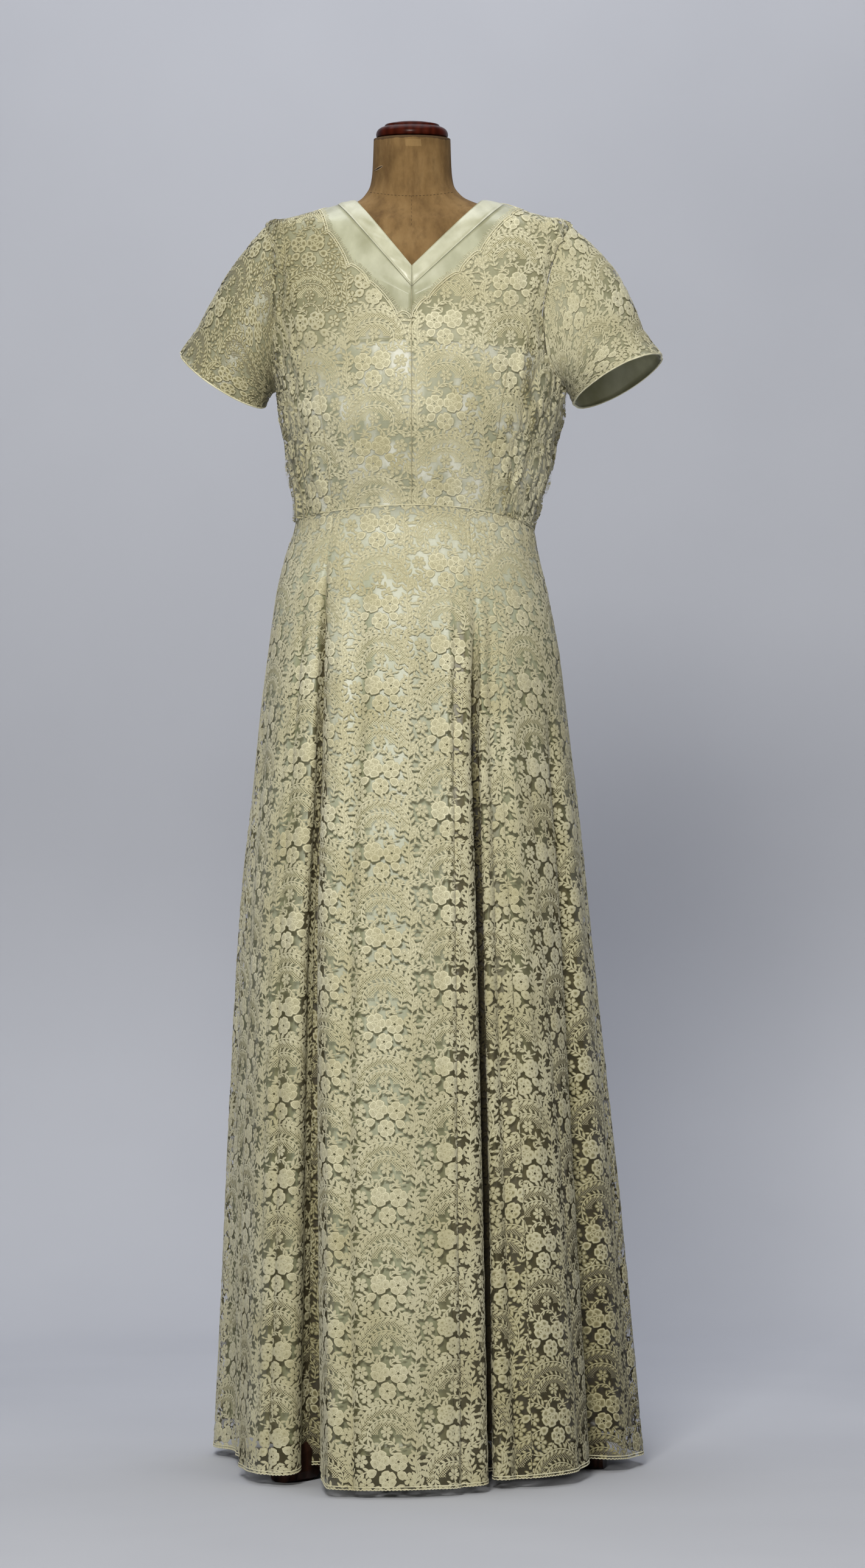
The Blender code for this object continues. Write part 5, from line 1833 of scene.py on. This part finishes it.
def sleeve_surface(side, rows, columns):
    """Rings from the armhole down to the hem, and their outward directions."""
    size = dict(zip(SLEEVE_COLUMNS, SLEEVES[side]))
    sign = SIGN[side]
    angle = np.linspace(-math.pi, math.pi, columns + 1) % (2 * math.pi)
    tip = np.array([sign * size["tip_out"], 0.0, size["tip_height"]])
    inner = np.array([sign * size["inner_out"], 0.0, size["inner_height"]])
    middle, half = (tip + inner) / 2, (tip - inner) / 2
    toward = np.array([0.0, -size["half_depth"], -size["drop"]])
    hem = middle + np.cos(angle)[:, None] * half + np.sin(angle)[:, None] * toward
    direction = np.array([sign, 0.0, 0.0])
    start = armhole_loop(side, angle) + direction * SLEEVE_START
    share = np.linspace(0, 1, rows)[:, None, None]
    over, under = (np.maximum(way * np.cos(angle), 0.0)[None, :, None] for way in (1, -1))
    bulge = np.sin(math.pi * np.minimum(share / CAP_END, 1.0)) * over
    cap = size["cap"] * bulge * np.array([sign * CAP_OUT, 0.0, CAP_UP])
    fall = share ** (1 + UNDERARM_EASE * under)
    sideways = start[:, :2] + (hem - start)[:, :2] * share
    down = start[:, 2:] + (hem - start)[:, 2:] * fall
    rings = np.concatenate([sideways + cap[..., :2], down + cap[..., 2:]], axis=-1)
    centre = rings[:, :-1].mean(axis=1, keepdims=True)
    after = np.concatenate([rings[:, 1:], rings[:, 1:2]], axis=1)
    before = np.concatenate([rings[:, -2:-1], rings[:, :-1]], axis=1)
    away = unit(np.cross(np.gradient(rings, axis=0), after - before))
    away = away * np.where(np.sum(away * (rings - centre), axis=-1, keepdims=True) < 0, -1.0, 1.0)
    away[0] -= np.sum(away[0] * direction, axis=-1, keepdims=True) * direction
    away = unit(away)
    spread = np.sin(math.pi * share[..., 0] * 0.5)
    turn = (angle * 3.0 * np.sign(math.pi - angle))[None, :]
    ripple = SLEEVE_RIPPLE * noise(turn, share[..., 0] * 1.4, 51)
    rings = rings + away * (ripple * spread)[..., None]
    return pull_in(rings, ("first_column", "last_column")), away


def build_sleeve(side):
    rings, away = sleeve_surface(side, *SLEEVE_SATIN_GRID)
    satin = f"satin_sleeve_{side}"
    satin_piece(satin, Panel(rings, away), rings, away, SATIN_SIDES, YOKE_SATIN, "hung")
    rings, away = sleeve_surface(side, *SLEEVE_LACE_GRID)
    rows, columns = (np.arange(count) for count in rings.shape[:2])
    lift = np.abs(SLEEVE_LIFT + SLEEVE_WAVES * noise(columns[None, :] * 0.6, rows[:, None] * 0.25, 61))
    lift[0] = 0.0
    shade = np.full((*lift.shape, 1), SLEEVE_SHADES[side])
    panel = Panel(rings + away * lift[..., None], away, shade=shade)
    name = f"lace_sleeve_{side}"
    net = add_net(name, panel.points, away, panel.flat(), -1)
    motifs = lay_lace(name, panel, -1)
    edge = panel.points[-1] + away[-1] * SLEEVE_HEM_LIFT
    hem = add_cords(f"{name}_hem", [edge], SLEEVE_HEM_RADIUS, LACE, 6)
    keep_sheet(name, net, panel, "draped", f"{satin}_cloth", motifs + [hem])


# Seams


# The waist's welt: its radius, and how far out and up it lies. The stitched lines: their radius, how far
# they stand off the satin and off the lace, and where the bust seams and the centre seam begin and end.
WELT_RADIUS = 0.0006
WELT_OUT = 0.0014
WELT_UP = 0.00048
SEAM_RADIUS = 0.00030
SEAM_ON_ARMHOLE = 0.0012
SEAM_ON_SATIN = 0.0002
SEAM_ON_LACE = 0.0021
BUST_SEAM_SPAN = (1.146, 1.31)
CENTRE_SEAM_SPAN = (1.148, 1.3985)
LACE_TOP = 1.366


def build_seams():
    """The stitched lines of the bodice, waist and armholes."""
    turn = np.linspace(0, 2 * math.pi, 361)
    height = waist_height(turn)
    ring = np.column_stack([section_point(turn, height), height])
    out = unit(ring * (1, 1, 0))
    welt = ring + out * WELT_OUT + np.array([0.0, 0.0, WELT_UP])
    add_cords("waist_seam", [welt], WELT_RADIUS, LACE, 6)
    stitched = []
    for side in ("left", "right"):
        loop = armhole_loop(side, np.linspace(0, 2 * math.pi, 121))
        stitched.append(loop + np.array([SIGN[side] * SEAM_ON_ARMHOLE, 0.0, 0.0]))
        heights = np.linspace(*BUST_SEAM_SPAN, 90)
        line, away = body_surface(bust_seam(heights, side), heights, side, "front")
        stitched.append(line + away * SEAM_ON_LACE)
    heights = np.linspace(*CENTRE_SEAM_SPAN, 160)
    line, away = body_surface(0.0 * heights, heights, "right", "front")
    lifted = np.where(heights > LACE_TOP, SEAM_ON_SATIN, SEAM_ON_LACE)
    stitched.append(line + away * lifted[:, None])
    add_cords("bodice_seams", stitched, SEAM_RADIUS, SEAM, 5)


# The dress form and its stand

FORM_ROUND = 96
# The heights of the form's rings: up the body, over the shoulder, and up the neck.
BODY_RINGS = np.concatenate([[FORM_BOTTOM], np.linspace(0.812, FORM_SHOULDER, 60)])
NECK_RINGS = np.concatenate([np.linspace(1.4860, 1.52, 18), np.linspace(1.522, 1.5880, 20)])
# The stitches round the neck sag in the middle; those of the front seam run up it. All lie just proud.
NECK_STITCHES = (-0.050, 0.050, 0.0042)
NECK_STITCH_LENGTH = 0.0021
NECK_STITCH_LINE = (1.5235, 0.0085, 0.055)
SEAM_STITCHES = (1.478, 1.5145, 0.0050)
SEAM_STITCH_LENGTH = 0.0024
SEAM_STITCH_ACROSS = -0.0005
STITCH_LIFT = 0.0002
STITCH_RADIUS = 0.00022
# A small tear in the neck's canvas: a dark slit between two lips.
TEAR_ACROSS = (-0.0445, -0.0350)
TEAR_HEIGHT = 1.5505
TEAR_SLANT = 0.0035
TEAR_GAPE = 0.0011
TEAR_RADIUS = 0.0009
TEAR_LIFT = 0.0001
LIP_APART = 0.0004
LIP_RADIUS = 0.00055
LIP_LIFT = 0.0004
CAP_STEP = 0.0008
CAP_SIDES = 72


def form_rings():
    """The form's rings from its bottom to the top of its neck."""
    angle = turns(FORM_ROUND)
    inset_heights, insets = (column(FORM_INSETS, INSET_COLUMNS, name) for name in INSET_COLUMNS)
    rings = []
    for height in BODY_RINGS:
        drop = SHOULDER_DROP * np.clip((height - DROP_START) / DROP_SPAN, 0.0, 1.0)
        ring = section_point(angle, np.full(FORM_ROUND, height + drop))
        size = np.linalg.norm(ring, axis=1, keepdims=True)
        ring = ring * (1 - np.interp(height, inset_heights, insets) / size)
        if height > ARM_PLATE_BOTTOM:
            ring[:, 0] = np.clip(ring[:, 0], -ARM_PLATE, ARM_PLATE)
        rings.append(np.column_stack([ring, np.full(FORM_ROUND, height)]))
    for height in NECK_RINGS:
        size = {name: looked_up(FORM_NECK, NECK_COLUMNS, name, height) for name in NECK_COLUMNS[1:]}
        wide = np.where(np.cos(angle) >= 0, size["right"], size["left"]) * np.cos(angle)
        deep = np.where(np.sin(angle) >= 0, size["front"], size["back"]) * -np.sin(angle)
        rings.append(np.column_stack([wide, deep, np.full(FORM_ROUND, height)]))
    return np.stack(rings)


def form_point(x, height, lift):
    """A point at a distance in front of the form's neck or chest."""
    rings = FORM_GRID[:, : FORM_ROUND // 2 + 1]
    heights = rings[:, 0, 2]
    row = np.interp(height, heights, np.arange(len(heights)))
    low = min(int(row), len(heights) - 2)
    line = rings[low] + (rings[low + 1] - rings[low]) * (row - low)
    depth = np.interp(x, line[::-1, 0], line[::-1, 1])
    return np.array([x, depth - lift, height])


def form_stitch(x, height, along, up):
    """A stitch from one point of the neck's front to another."""
    ends = [form_point(x, height, STITCH_LIFT), form_point(x + along, height + up, STITCH_LIFT)]
    return np.linspace(*ends, 3)


def neck_stitch_height(x):
    top, sag, half = NECK_STITCH_LINE
    return top - sag * (1 - (x / half) ** 2)


def build_form():
    """The canvas with its stitches and its tear."""
    rings = FORM_GRID
    count = rings.shape[0] * FORM_ROUND
    index = np.arange(count).reshape(-1, FORM_ROUND)
    after = np.roll(index, -1, axis=1)
    middle = np.array([[0.0, 0.0, rings[0, 0, 2]], [0.0, 0.0, rings[-1, 0, 2]]])
    verts = np.concatenate([rings.reshape(-1, 3), middle])
    bottom = np.stack([index[0], after[0], np.full(FORM_ROUND, count)], axis=1)
    top = np.stack([after[-1], index[-1], np.full(FORM_ROUND, count + 1)], axis=1)
    obj = add_mesh(FORM_PIECE, verts, [round_quads(index), bottom, top], CANVAS, verts)
    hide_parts("form_torso")
    stitches = []
    for x in np.arange(*NECK_STITCHES):
        height, end = neck_stitch_height(x), neck_stitch_height(x + NECK_STITCH_LENGTH)
        stitches.append(form_stitch(x, height, NECK_STITCH_LENGTH, end - height))
    for height in np.arange(*SEAM_STITCHES):
        stitches.append(form_stitch(SEAM_STITCH_ACROSS, height, 0.0, SEAM_STITCH_LENGTH))
    add_cords("form_stitches", stitches, STITCH_RADIUS, STITCH, 4)
    lips, slit = [], []
    for x in np.linspace(*TEAR_ACROSS, 9):
        share = (x - TEAR_ACROSS[0]) / (TEAR_ACROSS[1] - TEAR_ACROSS[0])
        gape = TEAR_GAPE * math.sin(math.pi * share) + LIP_APART
        height = TEAR_HEIGHT + TEAR_SLANT * (share - 0.5)
        slit.append(form_point(x, height, TEAR_LIFT))
        lips.append([form_point(x, height + way * gape, LIP_LIFT) for way in (1, -1)])
    add_cords("form_tear", [slit], TEAR_RADIUS, STITCH, 6)
    lips = np.array(lips)
    add_cords("form_tear_lips", [lips[:, 0], lips[:, 1]], LIP_RADIUS, PALE_CANVAS, 6)


def build_cap():
    """The turned cap of the neck."""
    outline = smooth_curve(np.array(CAP_OUTLINE), CAP_STEP)
    radius, height = outline[:, :1], outline[:, 1:]
    turn = turns(CAP_SIDES)
    rings = np.stack([radius * np.cos(turn), radius * np.sin(turn), height + 0 * turn], axis=-1)
    index = np.arange(len(outline) * CAP_SIDES).reshape(-1, CAP_SIDES)
    verts = rings.reshape(-1, 3)
    obj = add_mesh("neck_cap", verts, [round_quads(index)], WOOD, verts)
    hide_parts("form_neck_cap")


def build_stand():
    """The stand keeps the CAD's own shapes and takes only a material."""
    for name in ("stand_column", "stand_leg_1", "stand_leg_2", "stand_leg_3"):
        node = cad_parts[name]
        node.data.materials.clear()
        node.data.materials.append(DARK_WOOD)


# The studio

CAMERA_OUT = 6.5
CAMERA_HEIGHT = 0.815
CAMERA_RIGHT = 0.0245
# The focal length is 8904 of the photo's own pixels, and the photo's 2576 fill the sensor's height.
SENSOR = 36.0
FOCAL = SENSOR * 8904.0 / 2576.0
# The paper: where it starts in front, where it bends up and how widely, its height and half its width.
PAPER_FRONT = -5.0
PAPER_BEND = 1.4
PAPER_RADIUS = 0.7
PAPER_TOP = 5.0
PAPER_HALF = 6.0
PAPER_DEEP = (0.495, 0.505, 0.545)
PAPER_LIGHT = (0.540, 0.550, 0.590)
LIGHT_COLUMNS = ("name", "place", "target", "size", "watts", "tint")
LIGHTS = (
    ("key", (-0.50, -3.95, 2.75), (0.0, 0.0, 0.95), 1.0, 134.0, (1.0, 0.985, 0.93)),
    ("fill", (2.4, -2.6, 2.4), (0.0, 0.0, 1.3), 1.2, 7.0, (1.0, 0.92, 0.78)),
    ("wash", (-0.1, 0.7, 3.9), (0.45, 2.1, 0.55), 3.0, 74.0, (0.89, 0.92, 0.99)),
)
AIR = (0.93, 0.95, 1.0)
AIR_STRENGTH = 0.12


def build_camera():
    camera = bpy.data.cameras.new("photo_camera")
    camera.sensor_fit = "VERTICAL"
    camera.sensor_height = SENSOR
    camera.sensor_width = SENSOR
    camera.lens = FOCAL
    camera.clip_end = 60.0
    obj = link(bpy.data.objects.new("photo_camera", camera))
    obj.location = (FORM_AXIS_X + CAMERA_RIGHT, FORM_AXIS_Y - CAMERA_OUT, CAMERA_HEIGHT)
    obj.rotation_euler = (math.pi / 2, 0.0, 0.0)
    bpy.context.scene.camera = obj


def build_paper():
    """A paper that is floor and wall in one, and is see-through from behind."""
    shader = Shader("paper")
    cloud = shader.noise(shader.position(), 1.6, 3.0)
    behind = shader.node("NewGeometry", {})["Backfacing"]
    shader.set(
        Base_Color=shader.ramp(cloud, (0.3, PAPER_DEEP), (0.7, PAPER_LIGHT)),
        Roughness=0.9,
        Alpha=shader.math("SUBTRACT", 1.0, behind),
    )
    profile = [(y, 0.0) for y in np.linspace(PAPER_FRONT, PAPER_BEND, 12)]
    for turn in np.linspace(0.1, math.pi / 2, 14):
        out, up = PAPER_RADIUS * math.sin(turn), PAPER_RADIUS - PAPER_RADIUS * math.cos(turn)
        profile.append((PAPER_BEND + out, up))
    wall = PAPER_BEND + PAPER_RADIUS
    profile += [(wall, z) for z in np.linspace(PAPER_RADIUS + 0.1, PAPER_TOP, 8)]
    sides = np.linspace(-PAPER_HALF, PAPER_HALF, 9)
    verts = np.array([[x, y, z] for y, z in profile for x in sides])
    quads = grid_quads(len(profile), len(sides)).tolist()
    new_object("studio_paper", verts, quads, shader.material)


def build_lights():
    for row in LIGHTS:
        light = dict(zip(LIGHT_COLUMNS, row))
        lamp = bpy.data.lights.new(light["name"], "AREA")
        lamp.shape = "SQUARE"
        lamp.size = light["size"]
        lamp.energy = light["watts"]
        lamp.color = light["tint"]
        obj = link(bpy.data.objects.new(light["name"], lamp))
        obj.location = light["place"]
        toward = Vector(light["target"]) - Vector(light["place"])
        obj.rotation_euler = toward.to_track_quat("-Z", "Y").to_euler()
    world = bpy.data.worlds.new("studio_air")
    world.use_nodes = True
    air = world.node_tree.nodes["Background"].inputs
    air["Color"].default_value = (*AIR, 1.0)
    air["Strength"].default_value = AIR_STRENGTH
    bpy.context.scene.world = world
    bpy.context.scene.view_settings.view_transform = "Standard"


FORM_GRID = form_rings()
build_camera()
build_paper()
build_lights()
build_form()
build_cap()
build_stand()
for side in ("left", "right"):
    build_bodice_front(side)
    build_sleeve(side)
build_bodice_back()
build_skirt_lining()
build_skirt_lace()
build_seams()
declare_sheets()
